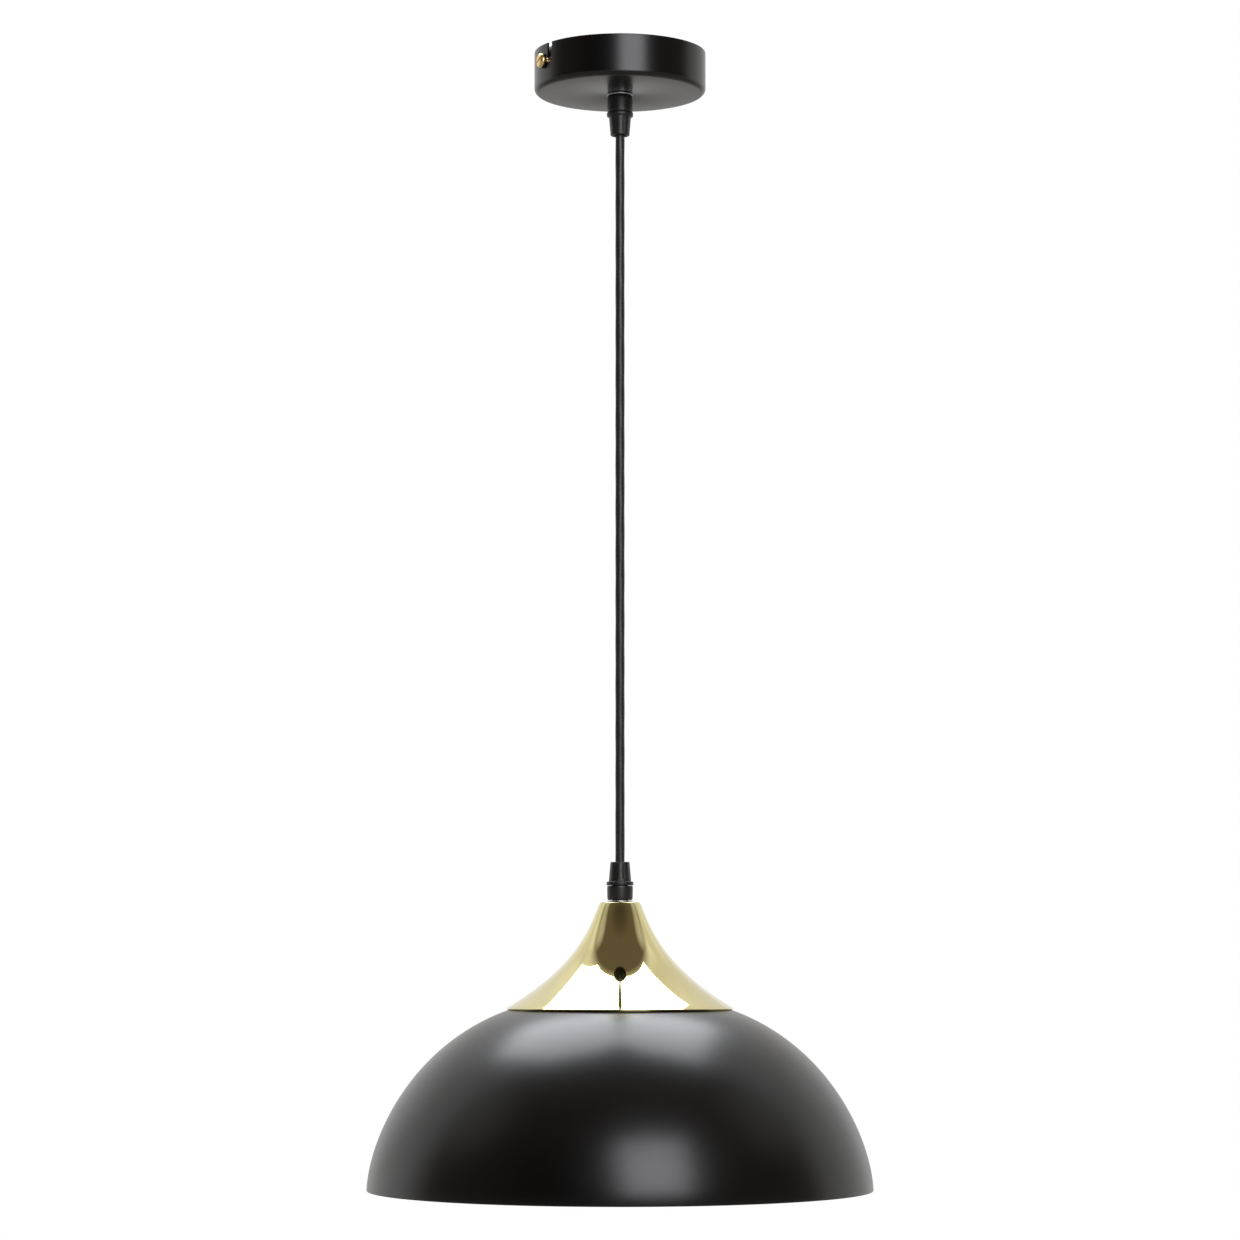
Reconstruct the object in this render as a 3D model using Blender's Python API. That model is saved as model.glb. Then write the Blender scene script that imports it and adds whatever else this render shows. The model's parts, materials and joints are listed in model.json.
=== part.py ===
"""A pendant ceiling light: a bayonet canopy on a ceiling bracket, a round cord held by
two cord glands, a flared brass cap over an E27 lamp holder, and a black dome shade.

Metres, +Z up. The origin is the centre of the ceiling face, so everything hangs below z = 0.
"""

import math

import bmesh
import bpy
from mathutils import Matrix, Vector

# ---- driving dimensions ---------------------------------------------------------------

GAP = 0.0003  # running clearance between neighbouring pieces

CANOPY_RADIUS = 0.0520
CANOPY_TOP = -GAP
CANOPY_BOTTOM = -0.0252
CANOPY_WALL = 0.0012
CANOPY_FILLET = 0.0030
SHEET_SEGMENTS = 40

SCREW_AXIS_ANGLE = math.radians(27.6)  # the bracket's long axis, seen from above
BAYONET_TWIST = math.radians(8)
SCREW_HEIGHT = -0.0105
SCREW_RADIUS = 0.00195
SCREW_HEAD_RADIUS = 0.0044
SCREW_HEAD_HEIGHT = 0.0024
SCREW_END = 0.0440  # distance of its tip from the light's axis
WASHER_THICKNESS = 0.0004
SLOT_HALF_WIDTH = 0.0023
DRIVER_SLOT_HALF_WIDTH = 0.0006
DRIVER_SLOT_DEPTH = 0.0011

STRAP_HALF_LENGTH = 0.0492
STRAP_HALF_WIDTH = 0.0100
STRAP_THICKNESS = 0.0015
STRAP_BEND = 0.0025
TAB_BOTTOM = -0.0170
CEILING_SLOT_X = 0.0360  # middle of each slot, along the strap
CEILING_SLOT_HALF_LENGTH = 0.0038  # between the centres of its round ends, halved
CEILING_SLOT_RADIUS = 0.0023

EARTH_SCREW_X = 0.0220  # along the strap
EARTH_SCREW_RADIUS = 0.0017
EARTH_SCREW_HEAD_RADIUS = 0.0032
EARTH_SCREW_HEAD_HEIGHT = 0.0018
EARTH_HOLE_RADIUS = 0.0021
TAG_THICKNESS = 0.0006
TAG_HALF_TONGUE = 0.0017

BLOCK_TOP = -STRAP_THICKNESS - GAP
BLOCK_HEIGHT = 0.0100
BLOCK_HALF_LENGTH = 0.0140
BLOCK_HALF_WIDTH = 0.0080
POLE_PITCH = 0.0090
POLE_HEIGHT = -0.0075
POLE_RADIUS = 0.0017
POLE_WELL_RADIUS = 0.0021
POLE_SCREW_TOP = -0.0083
POLE_SCREW_BOTTOM = -0.0109
WIRE_ENTRY = 0.0062  # how far from the middle of the block a wire's end stops

THREAD_RADIUS = 0.00495  # the M10 thread that runs through both ends of the light
THREAD_BORE = 0.0053
NUT_ACROSS_FLATS = 0.0140
NUT_HEIGHT = 0.0025
LOCK_WASHER_RADIUS = 0.0090
LOCK_WASHER_THICKNESS = 0.0008

CORD_RADIUS = 0.0028
CORD_TOP = -0.0185  # where the jacket is stripped, inside the canopy
SWING_SIDE_Z = -0.0590  # the cord flexes sideways here and to the front a little lower
SWING_FRONT_Z = -0.0730
SPIN_Z = -0.4738
TILT_Z = -0.4850
CORD_POINT_SPACING = 0.0145
JACKET_BOTTOM = -0.5417  # where it is stripped again, inside the lamp holder
CORE_RADIUS = 0.00095
CORE_POINT_SPACING = 0.0030

UPPER_RING_TOP = CANOPY_BOTTOM - GAP
GLAND_RING_HEIGHT = 0.0008
GLAND_RING_RADIUS = 0.0076
UPPER_SEAT = UPPER_RING_TOP - GLAND_RING_HEIGHT - GAP
UPPER_BODY_LENGTH = 0.0102
LOWER_SEAT = -0.5140
LOWER_BODY_LENGTH = 0.0085
LOWER_TAIL_LENGTH = 0.0055
SEAT_RADIUS = 0.0069
SHOULDER_RADIUS = 0.0077
SHOULDER_BAND = 0.0008
SPIGOT_RADIUS = 0.0049
CORD_PASSAGE = 0.0035
GLAND_SPIGOT_LENGTH = 0.0075
GLAND_NUT_LENGTH = 0.0139

CAP_TOP = -0.5154
CAP_TOP_RADIUS = 0.01184
CAP_BASE_RADIUS = 0.06745
CAP_BASE = -0.5792
CAP_TOP_PULL = Vector((0.0052, -0.0100))  # the curve's handle at the top of the flare
CAP_BASE_PULL = Vector((-0.0464, 0.0273))  # and the one at its base
CAP_LIP = 0.0025
CAP_WALL = 0.0010

DOME_RADIUS = 0.1500
DOME_RIM = -0.6853
DOME_RISE = 0.1154  # rim to apex of the dome's curve
DOME_SIDE_POWER = 2.512
DOME_TOP_POWER = 1.655
DOME_WALL = 0.0010
CROWN_TOP = -0.5706  # the flat that the lamp holder clamps
CROWN_FLAT_RADIUS = 0.0262
CROWN_HOLE_RADIUS = 0.0204

NIPPLE_TOP = LOWER_SEAT + 0.0052
NIPPLE_BOTTOM = -0.5407
NIPPLE_BORE = 0.0039
HOLDER_TOP = -0.5333
HOLDER_RADIUS = 0.0205
HOLDER_WALL = 0.0016
HOLDER_SPLIT = -0.5570  # the holder's cap meets its body here
BOSS_RADIUS = 0.0090
SHOULDER_BASE = -0.5470
SHOULDER_RISE = 0.0127
SKIRT_RADIUS = 0.0196
SKIRT_BORE = 0.0176
SKIRT_BOTTOM = -0.5980
FLANGE_RADIUS = 0.0260
FLANGE_BOTTOM = CROWN_TOP + GAP
FLANGE_THICKNESS = 0.0020
INSERT_TOP = -0.5583
INSERT_BOTTOM = -0.5690
CONTACT_WELL_RADIUS = 0.0045
CONTACT_WELL_DEPTH = 0.0040
TERMINAL_X = 0.0092
TERMINAL_HALF_WIDTH = 0.0025
TERMINAL_HEIGHT = 0.0050
TERMINAL_ENTRY_RADIUS = 0.0013
SHELL_RADIUS = 0.0139
SHELL_BORE = 0.0133
SHELL_BOTTOM = -0.5935
SHELL_HOLE_RADIUS = 0.0060
CONTACT_TOP = -0.5688
CONTACT_FACE = -0.5752
CONTACT_RADIUS = 0.0035
CONTACT_THICKNESS = 0.0012
CONTACT_STEM_RADIUS = 0.0020
RING_TOP = CROWN_TOP - DOME_WALL - GAP
RING_HEIGHT = 0.0070
RING_RADIUS = 0.0275
RING_FLANGE_HEIGHT = 0.0025
RING_BODY_RADIUS = 0.0232
RING_BORE = 0.0201

SMALL_SEGMENTS = 16
HOLDER_SEGMENTS = 24
SMOOTH_ANGLE = math.radians(40)
CUT_MARGIN = 0.001  # how far a cutter runs past the surface it opens

# ---- scene, materials and placing -----------------------------------------------------


def clear_scene():
    for obj in list(bpy.data.objects):
        bpy.data.objects.remove(obj, do_unlink=True)


def material(name, colour, roughness, metallic=0.0):
    mat = bpy.data.materials.new(name)
    mat.use_nodes = True
    shader = mat.node_tree.nodes["Principled BSDF"]
    shader.inputs["Base Color"].default_value = (*colour, 1.0)
    shader.inputs["Roughness"].default_value = roughness
    shader.inputs["Metallic"].default_value = metallic
    return mat


def pivot(name, location=(0, 0, 0), parent=None, turn=(0, 0, 0)):
    """An empty that a moving group hangs from, on the group's joint axis."""
    empty = bpy.data.objects.new(name, None)
    empty.empty_display_size = 0.01
    bpy.context.scene.collection.objects.link(empty)
    placing = Matrix.Translation(location) @ Matrix.Rotation(turn[2], 4, "Z")
    hang(empty, parent)
    empty.matrix_world = placing
    bpy.context.view_layer.update()
    return empty


def hang(obj, parent):
    """Parents obj and keeps it where it stands in the world."""
    if parent is None:
        return
    obj.parent = parent
    obj.matrix_parent_inverse = parent.matrix_world.inverted()


def finish(obj, mat, parent):
    obj.data.materials.clear()
    obj.data.materials.append(mat)
    hang(obj, parent)
    return obj


def new_object(name, mesh):
    obj = bpy.data.objects.new(name, mesh)
    bpy.context.scene.collection.objects.link(obj)
    return obj


def shade_round(mesh):
    mesh.shade_smooth()
    mesh.set_sharp_from_angle(angle=SMOOTH_ANGLE)


# ---- shape helpers --------------------------------------------------------------------


def arc(centre, radii, start, end, steps):
    """Points of an elliptical arc in the (radius, height) plane, angles in degrees."""
    points = []
    for step in range(steps + 1):
        angle = math.radians(start + (end - start) * step / steps)
        points.append(
            (centre[0] + radii[0] * math.cos(angle), centre[1] + radii[1] * math.sin(angle))
        )
    return points


def inward(points, thickness):
    """The same run of points moved towards the axis side by one wall thickness.
    The run goes down the outer side, so its inner side is on the right of travel."""
    moved = []
    for index, (radius, height) in enumerate(points):
        before = Vector(points[max(index - 1, 0)])
        after = Vector(points[min(index + 1, len(points) - 1)])
        along = (after - before).normalized()
        moved.append((radius + along.y * thickness, height - along.x * thickness))
    return moved


def turned(name, profile, segments, mat, parent, place=(0, 0, 0), flip=False, solid=False):
    """A turned piece. The profile runs down the outer side and back up the bore;
    a solid one starts and ends on the axis instead."""
    count = len(profile)
    edges = [(i, i + 1) for i in range(count - 1)]
    if not solid:
        edges.append((count - 1, 0))
    mesh = bpy.data.meshes.new(name)
    mesh.from_pydata([(radius, 0, height) for radius, height in profile], edges, [])
    obj = new_object(name, mesh)
    screw = obj.modifiers.new("Turn", "SCREW")
    screw.axis = "Z"
    screw.steps = segments
    screw.render_steps = segments
    screw.use_merge_vertices = True
    screw.merge_threshold = 0.00001
    bpy.context.view_layer.update()
    graph = bpy.context.evaluated_depsgraph_get()
    obj.data = bpy.data.meshes.new_from_object(obj.evaluated_get(graph))
    obj.modifiers.clear()
    shade_round(obj.data)
    obj.location = place
    if flip:
        obj.rotation_euler = (math.pi, 0, 0)
    bpy.context.view_layer.update()
    return finish(obj, mat, parent)


def prism(name, outline, low, high, mat=None, parent=None, frame=None):
    """An outline in the local XY plane, extruded along local Z and placed by frame."""
    bm = bmesh.new()
    face = bm.faces.new([bm.verts.new((x, y, low)) for x, y in outline])
    grown = bmesh.ops.extrude_face_region(bm, geom=[face])
    verts = [item for item in grown["geom"] if isinstance(item, bmesh.types.BMVert)]
    bmesh.ops.translate(bm, verts=verts, vec=(0, 0, high - low))
    bmesh.ops.recalc_face_normals(bm, faces=bm.faces)
    mesh = bpy.data.meshes.new(name)
    bm.to_mesh(mesh)
    bm.free()
    shade_round(mesh)
    obj = new_object(name, mesh)
    if frame is not None:
        obj.matrix_world = frame
    bpy.context.view_layer.update()
    if mat is None:
        return as_cutter(obj)
    return finish(obj, mat, parent)


def as_cutter(obj):
    obj.hide_render = True
    obj.display_type = "WIRE"
    return obj


def circle(radius, segments, centre=(0, 0)):
    points = []
    for step in range(segments):
        angle = math.tau * step / segments
        points.append(
            (centre[0] + radius * math.cos(angle), centre[1] + radius * math.sin(angle))
        )
    return points


def rectangle(x_low, x_high, y_low, y_high):
    return [(x_low, y_low), (x_high, y_low), (x_high, y_high), (x_low, y_high)]


def cut(target, cutter, operation="DIFFERENCE"):
    boolean = target.modifiers.new("Cut", "BOOLEAN")
    boolean.operation = operation
    boolean.solver = "EXACT"
    boolean.object = cutter


def hex_nut(name, z_top, height, mat, parent):
    corner = NUT_ACROSS_FLATS / 2 / math.cos(math.pi / 6)
    nut = prism(name, circle(corner, 6), z_top - height, z_top, mat, parent)
    outline = circle(THREAD_BORE, SMALL_SEGMENTS)
    cut(nut, prism(name + "_bore", outline, z_top - height - CUT_MARGIN, z_top + CUT_MARGIN))
    return nut


def flat_ring(name, z_top, height, outer, mat, parent):
    """A washer that fits over the M10 thread."""
    bore, z_low = THREAD_BORE, z_top - height
    profile = [(outer, z_top), (outer, z_low), (bore, z_low), (bore, z_top)]
    return turned(name, profile, SMALL_SEGMENTS, mat, parent)


def catmull(points, spacing):
    """Points read from a smooth curve through the route's own points."""
    route = [Vector(point) for point in points]
    ends = [2 * route[0] - route[1], *route, 2 * route[-1] - route[-2]]
    samples = []
    for index in range(1, len(ends) - 2):
        p0, p1, p2, p3 = ends[index - 1 : index + 3]
        steps = max(1, round((p2 - p1).length / spacing))
        for step in range(steps):
            t = step / steps
            samples.append(
                0.5
                * (
                    2 * p1
                    + (p2 - p0) * t
                    + (2 * p0 - 5 * p1 + 4 * p2 - p3) * t**2
                    + (3 * p1 - p0 - 3 * p2 + p3) * t**3
                )
            )
    samples.append(route[-1])
    return samples


def tube(name, route, radius, spacing, mat, parent, frame=None):
    """A round tube along a route: a bevelled curve with its ends filled."""
    curve = bpy.data.curves.new(name, "CURVE")
    curve.dimensions = "3D"
    curve.bevel_depth = radius
    curve.bevel_resolution = 2
    curve.use_fill_caps = True
    points = catmull(route, spacing)
    spline = curve.splines.new("POLY")
    spline.points.add(len(points) - 1)
    for place, point in zip(spline.points, points):
        place.co = (*point, 1.0)
    obj = new_object(name, curve)
    if frame is not None:
        obj.matrix_world = frame
    bpy.context.view_layer.update()
    return finish(obj, mat, parent)


def ring_tag(name, z_top, bore, outer, reach, mat, parent, frame):
    """A solder tag: a flat ring with a tongue that the earth wire is joined to."""
    low = z_top - TAG_THICKNESS
    tag = prism(name, circle(outer, SMALL_SEGMENTS), low, z_top, mat, parent, frame)
    tongue = rectangle(outer * 0.6, reach, -TAG_HALF_TONGUE, TAG_HALF_TONGUE)
    cut(tag, prism(name + "_tongue", tongue, low, z_top, frame=frame), "UNION")
    hole = circle(bore, SMALL_SEGMENTS)
    cut(tag, prism(name + "_bore", hole, low - CUT_MARGIN, z_top + CUT_MARGIN, frame=frame))
    return tag


# ---- the ceiling bracket and what is wired to it ---------------------------------------


def bracket_outline():
    """The strap and its two bent tabs, in the plane across the strap's width."""
    x, t, bend = STRAP_HALF_LENGTH, STRAP_THICKNESS, STRAP_BEND
    outer = arc((x - bend, -bend), (bend, bend), 0, 90, 4)
    inner = arc((x - bend, -bend), (bend - t, bend - t), 90, 0, 4)
    right = [(x, TAB_BOTTOM), *outer]
    right_inner = [*inner, (x - t, TAB_BOTTOM)]
    left = [(-px, pz) for px, pz in reversed(right)]
    left_inner = [(-px, pz) for px, pz in reversed(right_inner)]
    return right + left + left_inner + right_inner


def mounting_bracket(mat, parent, frame):
    """A steel strap with two slots for ceiling screws, a hole for the earth screw and
    a hole in each tab for a canopy screw."""
    outline, half = bracket_outline(), STRAP_HALF_WIDTH
    across = frame @ Matrix.Rotation(math.pi / 2, 4, "X")
    strap = prism("mounting_bracket", outline, -half, half, mat, parent, across)
    low, high = -STRAP_THICKNESS - CUT_MARGIN, CUT_MARGIN
    ends = (CEILING_SLOT_RADIUS, CEILING_SLOT_RADIUS)
    for side in (-1, 1):
        near = side * CEILING_SLOT_X - CEILING_SLOT_HALF_LENGTH
        far = side * CEILING_SLOT_X + CEILING_SLOT_HALF_LENGTH
        slot = arc((far, 0), ends, -90, 90, 5) + arc((near, 0), ends, 90, 270, 5)
        cut(strap, prism(f"ceiling_slot_{side}", slot, low, high, frame=frame))
    earth_hole = circle(EARTH_HOLE_RADIUS, 12, (EARTH_SCREW_X, 0))
    cut(strap, prism("earth_hole", earth_hole, low, high, frame=frame))
    along = frame @ Matrix.Translation((0, 0, SCREW_HEIGHT)) @ Matrix.Rotation(math.pi / 2, 4, "Y")
    reach = STRAP_HALF_LENGTH + CUT_MARGIN
    cut(strap, prism("tab_holes", circle(SLOT_HALF_WIDTH, 12), -reach, reach, frame=along))


def terminal_block(mat, brass, parent, frame):
    """A three-pole block under the strap, each pole with a clamping screw."""
    x, y, bottom = BLOCK_HALF_LENGTH, BLOCK_HALF_WIDTH, BLOCK_TOP - BLOCK_HEIGHT
    outline = rectangle(-x, x, -y, y)
    block = prism("terminal_block", outline, bottom, BLOCK_TOP, mat, parent, frame)
    end = y + CUT_MARGIN
    screw = [(0, POLE_SCREW_TOP), (POLE_RADIUS, POLE_SCREW_TOP)]
    screw += [(POLE_RADIUS, POLE_SCREW_BOTTOM), (0, POLE_SCREW_BOTTOM)]
    for pole in (-1, 0, 1):
        x = pole * POLE_PITCH
        through = frame @ Matrix.Translation((x, 0, POLE_HEIGHT))
        through = through @ Matrix.Rotation(math.pi / 2, 4, "X")
        cut(block, prism(f"pole_hole_{pole}", circle(POLE_RADIUS, 10), -end, end, frame=through))
        well = circle(POLE_WELL_RADIUS, 10, (x, 0))
        cut(block, prism(f"pole_well_{pole}", well, bottom - CUT_MARGIN, POLE_HEIGHT, frame=frame))
        place = frame @ Vector((x, 0, 0))
        turned(f"terminal_screw_{pole + 2}", screw, 10, brass, parent, place, solid=True)


def earth_fittings(steel, brass, parent, frame):
    place = frame @ Vector((EARTH_SCREW_X, 0, 0))
    tag_top = -STRAP_THICKNESS - GAP
    head_top = tag_top - TAG_THICKNESS - 2 * GAP
    head_bottom = head_top - EARTH_SCREW_HEAD_HEIGHT
    screw = [
        (0, -GAP),
        (EARTH_SCREW_RADIUS, -GAP),
        (EARTH_SCREW_RADIUS, head_top),
        (EARTH_SCREW_HEAD_RADIUS, head_top),
        (EARTH_SCREW_HEAD_RADIUS, head_bottom + 0.0006),
        (EARTH_SCREW_HEAD_RADIUS - 0.0010, head_bottom),
        (0, head_bottom),
    ]
    turned("earth_screw", screw, 12, brass, parent, place, solid=True)
    tag_frame = frame @ Matrix.Translation((EARTH_SCREW_X, 0, 0))
    tag_frame = tag_frame @ Matrix.Rotation(math.radians(-90), 4, "Z")
    bore = EARTH_HOLE_RADIUS
    ring_tag("earth_tag_top", tag_top, bore, 0.0036, 0.0085, steel, parent, tag_frame)


def upper_cores(live, neutral, earth, parent, frame):
    """The cord's three cores, from the stripped end up to the terminal block, and the
    link from the block to the earth screw."""
    start = CORD_TOP + GAP
    routes = {
        "wire_live_top": (
            live,
            [
                (-0.0012, -0.0007, start),
                (-0.0016, -0.0014, -0.0163),
                (-0.0055, -0.0085, -0.0143),
                (-0.0087, -0.0135, -0.0108),
                (-POLE_PITCH, -0.0112, -0.0079),
                (-POLE_PITCH, -WIRE_ENTRY, POLE_HEIGHT),
            ],
        ),
        "wire_neutral_top": (
            neutral,
            [
                (0.0012, -0.0007, start),
                (0.0016, -0.0014, -0.0163),
                (0.0055, -0.0085, -0.0143),
                (0.0087, -0.0135, -0.0108),
                (POLE_PITCH, -0.0112, -0.0079),
                (POLE_PITCH, -WIRE_ENTRY, POLE_HEIGHT),
            ],
        ),
        "wire_earth_top": (
            earth,
            [
                (0, 0.0014, start),
                (0, 0.0020, -0.0163),
                (0, 0.0078, -0.0148),
                (0, 0.0125, -0.0112),
                (0, 0.0108, -0.0080),
                (0, WIRE_ENTRY, POLE_HEIGHT),
            ],
        ),
        "wire_earth_link": (
            earth,
            [
                (0, -WIRE_ENTRY, POLE_HEIGHT),
                (0, -0.0106, -0.0073),
                (0.0046, -0.0138, -0.0052),
                (0.0140, -0.0138, -0.0038),
                (0.0200, -0.0130, -0.0034),
                (EARTH_SCREW_X, -0.0108, -0.0032),
                (EARTH_SCREW_X, -0.0088, -0.0030),
            ],
        ),
    }
    for name, (mat, route) in routes.items():
        tube(name, route, CORE_RADIUS, CORE_POINT_SPACING, mat, parent, frame)


def canopy_screw(side, brass, black, root):
    """A slotted pan-head screw through the canopy's bayonet slot into the bracket's tab.
    The washer travels with the screw, and the screw turns in it."""
    name = {-1: "left", 1: "right"}[side]
    angle = SCREW_AXIS_ANGLE + (math.pi if side < 0 else 0)
    place = (0, 0, SCREW_HEIGHT)
    travel = pivot(f"canopy_screw_{name}_travel", place, root, (0, 0, angle))
    outward = travel.matrix_world @ Matrix.Rotation(math.pi / 2, 4, "Y")
    washer_low = CANOPY_RADIUS + GAP
    washer_high = washer_low + WASHER_THICKNESS
    washer_profile = [
        (SCREW_HEAD_RADIUS, washer_high),
        (SCREW_HEAD_RADIUS, washer_low),
        (SLOT_HALF_WIDTH, washer_low),
        (SLOT_HALF_WIDTH, washer_high),
    ]
    washer = turned(f"canopy_washer_{name}", washer_profile, SMALL_SEGMENTS, black, None)
    washer.matrix_world = outward
    hang(washer, travel)
    head_low = washer_high + GAP
    head_high = head_low + SCREW_HEAD_HEIGHT
    crown = arc((0.0028, head_high - 0.0016), (0.0016, 0.0016), 90, 0, 3)
    screw_profile = [
        (0, head_high),
        *crown,
        (SCREW_HEAD_RADIUS, head_low),
        (SCREW_RADIUS, head_low),
        (SCREW_RADIUS, SCREW_END),
        (0, SCREW_END),
    ]
    screw = turned(f"canopy_screw_{name}", screw_profile, SMALL_SEGMENTS, brass, None, solid=True)
    screw.matrix_world = outward
    hang(screw, travel)
    half, reach = DRIVER_SLOT_HALF_WIDTH, SCREW_HEAD_RADIUS + CUT_MARGIN
    slot = rectangle(-half, half, -reach, reach)
    slot_frame = outward @ Matrix.Rotation(math.radians(20), 4, "Z")
    low, high = head_high - DRIVER_SLOT_DEPTH, head_high + CUT_MARGIN
    cut(screw, prism(f"{name}_driver_slot", slot, low, high, frame=slot_frame))


# ---- the canopy and the glands ---------------------------------------------------------


def bayonet_outline():
    """An L: an open leg down from the rim and a short leg round to the locked place.
    X runs round the canopy and Y up from the screw's height."""
    reach = CANOPY_RADIUS * math.sin(BAYONET_TWIST / 2)
    w = SLOT_HALF_WIDTH
    top = -SCREW_HEIGHT + CUT_MARGIN
    locked_end = arc((-reach, 0), (w, w), 90, 270, 6)
    return [*locked_end, (reach + w, -w), (reach + w, top), (reach - w, top), (reach - w, w)]


def canopy(mat, parent):
    bottom, wall, fillet = CANOPY_BOTTOM, CANOPY_WALL, CANOPY_FILLET
    corner = (CANOPY_RADIUS - fillet, bottom + fillet)
    profile = [(CANOPY_RADIUS, CANOPY_TOP)]
    profile += arc(corner, (fillet, fillet), 0, -90, 3)
    profile += [(THREAD_BORE, bottom), (THREAD_BORE, bottom + wall)]
    profile += arc(corner, (fillet - wall, fillet - wall), -90, 0, 3)
    profile += [(CANOPY_RADIUS - wall, CANOPY_TOP)]
    cup = turned("canopy", profile, SHEET_SEGMENTS, mat, parent)
    for side in (0, math.pi):
        middle = SCREW_AXIS_ANGLE + BAYONET_TWIST / 2 + side
        frame = Matrix.Rotation(middle, 4, "Z") @ Matrix.Translation((0, 0, SCREW_HEIGHT))
        tangent = Matrix(((0, 0, 1, 0), (1, 0, 0, 0), (0, 1, 0, 0), (0, 0, 0, 1)))
        low, high = CANOPY_RADIUS * 0.9, CANOPY_RADIUS * 1.1
        cut(cup, prism("bayonet_slot", bayonet_outline(), low, high, frame=frame @ tangent))


def gland_body(name, seat, length, flip, tail, mat, parent):
    """The gland's body stands on its seat with its spigot towards the cord. Its tail is
    a male thread of the given length, or a female one where the length is negative."""
    top = length + GLAND_SPIGOT_LENGTH
    profile = [(SPIGOT_RADIUS, top), (SPIGOT_RADIUS, length), (SHOULDER_RADIUS, length)]
    profile += [(SHOULDER_RADIUS, length - SHOULDER_BAND), (SEAT_RADIUS, 0)]
    if tail > 0:
        profile += [(THREAD_RADIUS, 0), (THREAD_RADIUS, -tail), (CORD_PASSAGE, -tail)]
    else:
        profile += [(THREAD_BORE, 0), (THREAD_BORE, -tail), (CORD_PASSAGE, -tail)]
    profile += [(CORD_PASSAGE, top)]
    turned(name, profile, SMALL_SEGMENTS, mat, parent, (0, 0, seat), flip)


def gland_nut(name, start, flip, mat, parent):
    """The clamping nut: a collar, then a tapered nose with a bell mouth for the cord."""
    top = GLAND_NUT_LENGTH
    profile = [
        (0.0053, top),
        (0.0057, top - 0.0005),
        (0.0067, 0.0022),
        (0.0080, 0.0022),
        (0.0080, 0.0003),
        (0.0077, 0),
        (0.0052, 0),
        (0.0052, 0.0083),
        (0.0036, 0.0117),
        (0.0036, top - 0.0013),
        (0.0044, top),
    ]
    turned(name, profile, SMALL_SEGMENTS, mat, parent, (0, 0, start), flip)


def gland_grip(name, start, flip, mat, parent):
    """The rubber sleeve that the nut squeezes onto the cord."""
    profile = [(0.0035, 0.0032), (0.0048, 0.0006), (0.0048, 0), (0.0031, 0), (0.0031, 0.0032)]
    turned(name, profile, SMALL_SEGMENTS, mat, parent, (0, 0, start), flip)


def gland(prefix, seat, body_length, flip, tail, black, rubber, fixed, travel):
    down = -1 if flip else 1
    gland_body(f"{prefix}_gland_body", seat, body_length, flip, tail, black, fixed)
    nut_start = seat + down * (body_length + GAP)
    gland_nut(f"{prefix}_gland_nut", nut_start, flip, black, travel)
    grip_start = seat + down * (body_length + GLAND_SPIGOT_LENGTH + GAP)
    gland_grip(f"{prefix}_gland_grip", grip_start, flip, rubber, travel)


# ---- the cord --------------------------------------------------------------------------


def straight_cord(name, top, bottom, mat, parent):
    """A straight stretch of the hanging cord, with points at an even spacing."""
    count = max(2, round((top - bottom) / CORD_POINT_SPACING) + 1)
    step = (bottom - top) / (count - 1)
    route = [(0, 0, top + step * index) for index in range(count)]
    tube(name, route, CORD_RADIUS, CORD_POINT_SPACING, mat, parent)


# ---- the brass cap and the dome ----------------------------------------------------------


def dome_height(radius):
    """Height of the dome's outer surface above its rim at this radius."""
    side = (radius / DOME_RADIUS) ** DOME_SIDE_POWER
    return DOME_RISE * (1 - side) ** (1 / DOME_TOP_POWER)


def cap_curve(steps):
    """The cap's outer flare, from its flat top to its base: one cubic curve."""
    p0 = Vector((CAP_TOP_RADIUS, CAP_TOP))
    p1 = p0 + CAP_TOP_PULL
    p3 = Vector((CAP_BASE_RADIUS, CAP_BASE))
    p2 = p3 + CAP_BASE_PULL
    points = []
    for step in range(steps + 1):
        t = step / steps
        s = 1 - t
        point = s**3 * p0 + 3 * s**2 * t * p1 + 3 * s * t**2 * p2 + t**3 * p3
        points.append((point.x, point.y))
    return points


def brass_cap(mat, parent):
    """A spun cap. Its inner skin ends where it meets the dome, so that it sits flush."""
    outer = cap_curve(9)
    inner = []
    for radius, height in inward(outer, CAP_WALL)[1:]:
        if height > DOME_RIM + dome_height(radius) + GAP:
            inner.append((radius, height))
    under_top = CAP_TOP - CAP_WALL
    profile = [(THREAD_BORE, CAP_TOP), *outer]
    lip = CAP_BASE_RADIUS - CAP_LIP
    profile += [(lip, DOME_RIM + dome_height(lip) + GAP)]
    profile += [*reversed(inner), (CAP_TOP_RADIUS - 0.0006, under_top), (THREAD_BORE, under_top)]
    turned("brass_cap", profile, SHEET_SEGMENTS, mat, parent)


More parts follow.
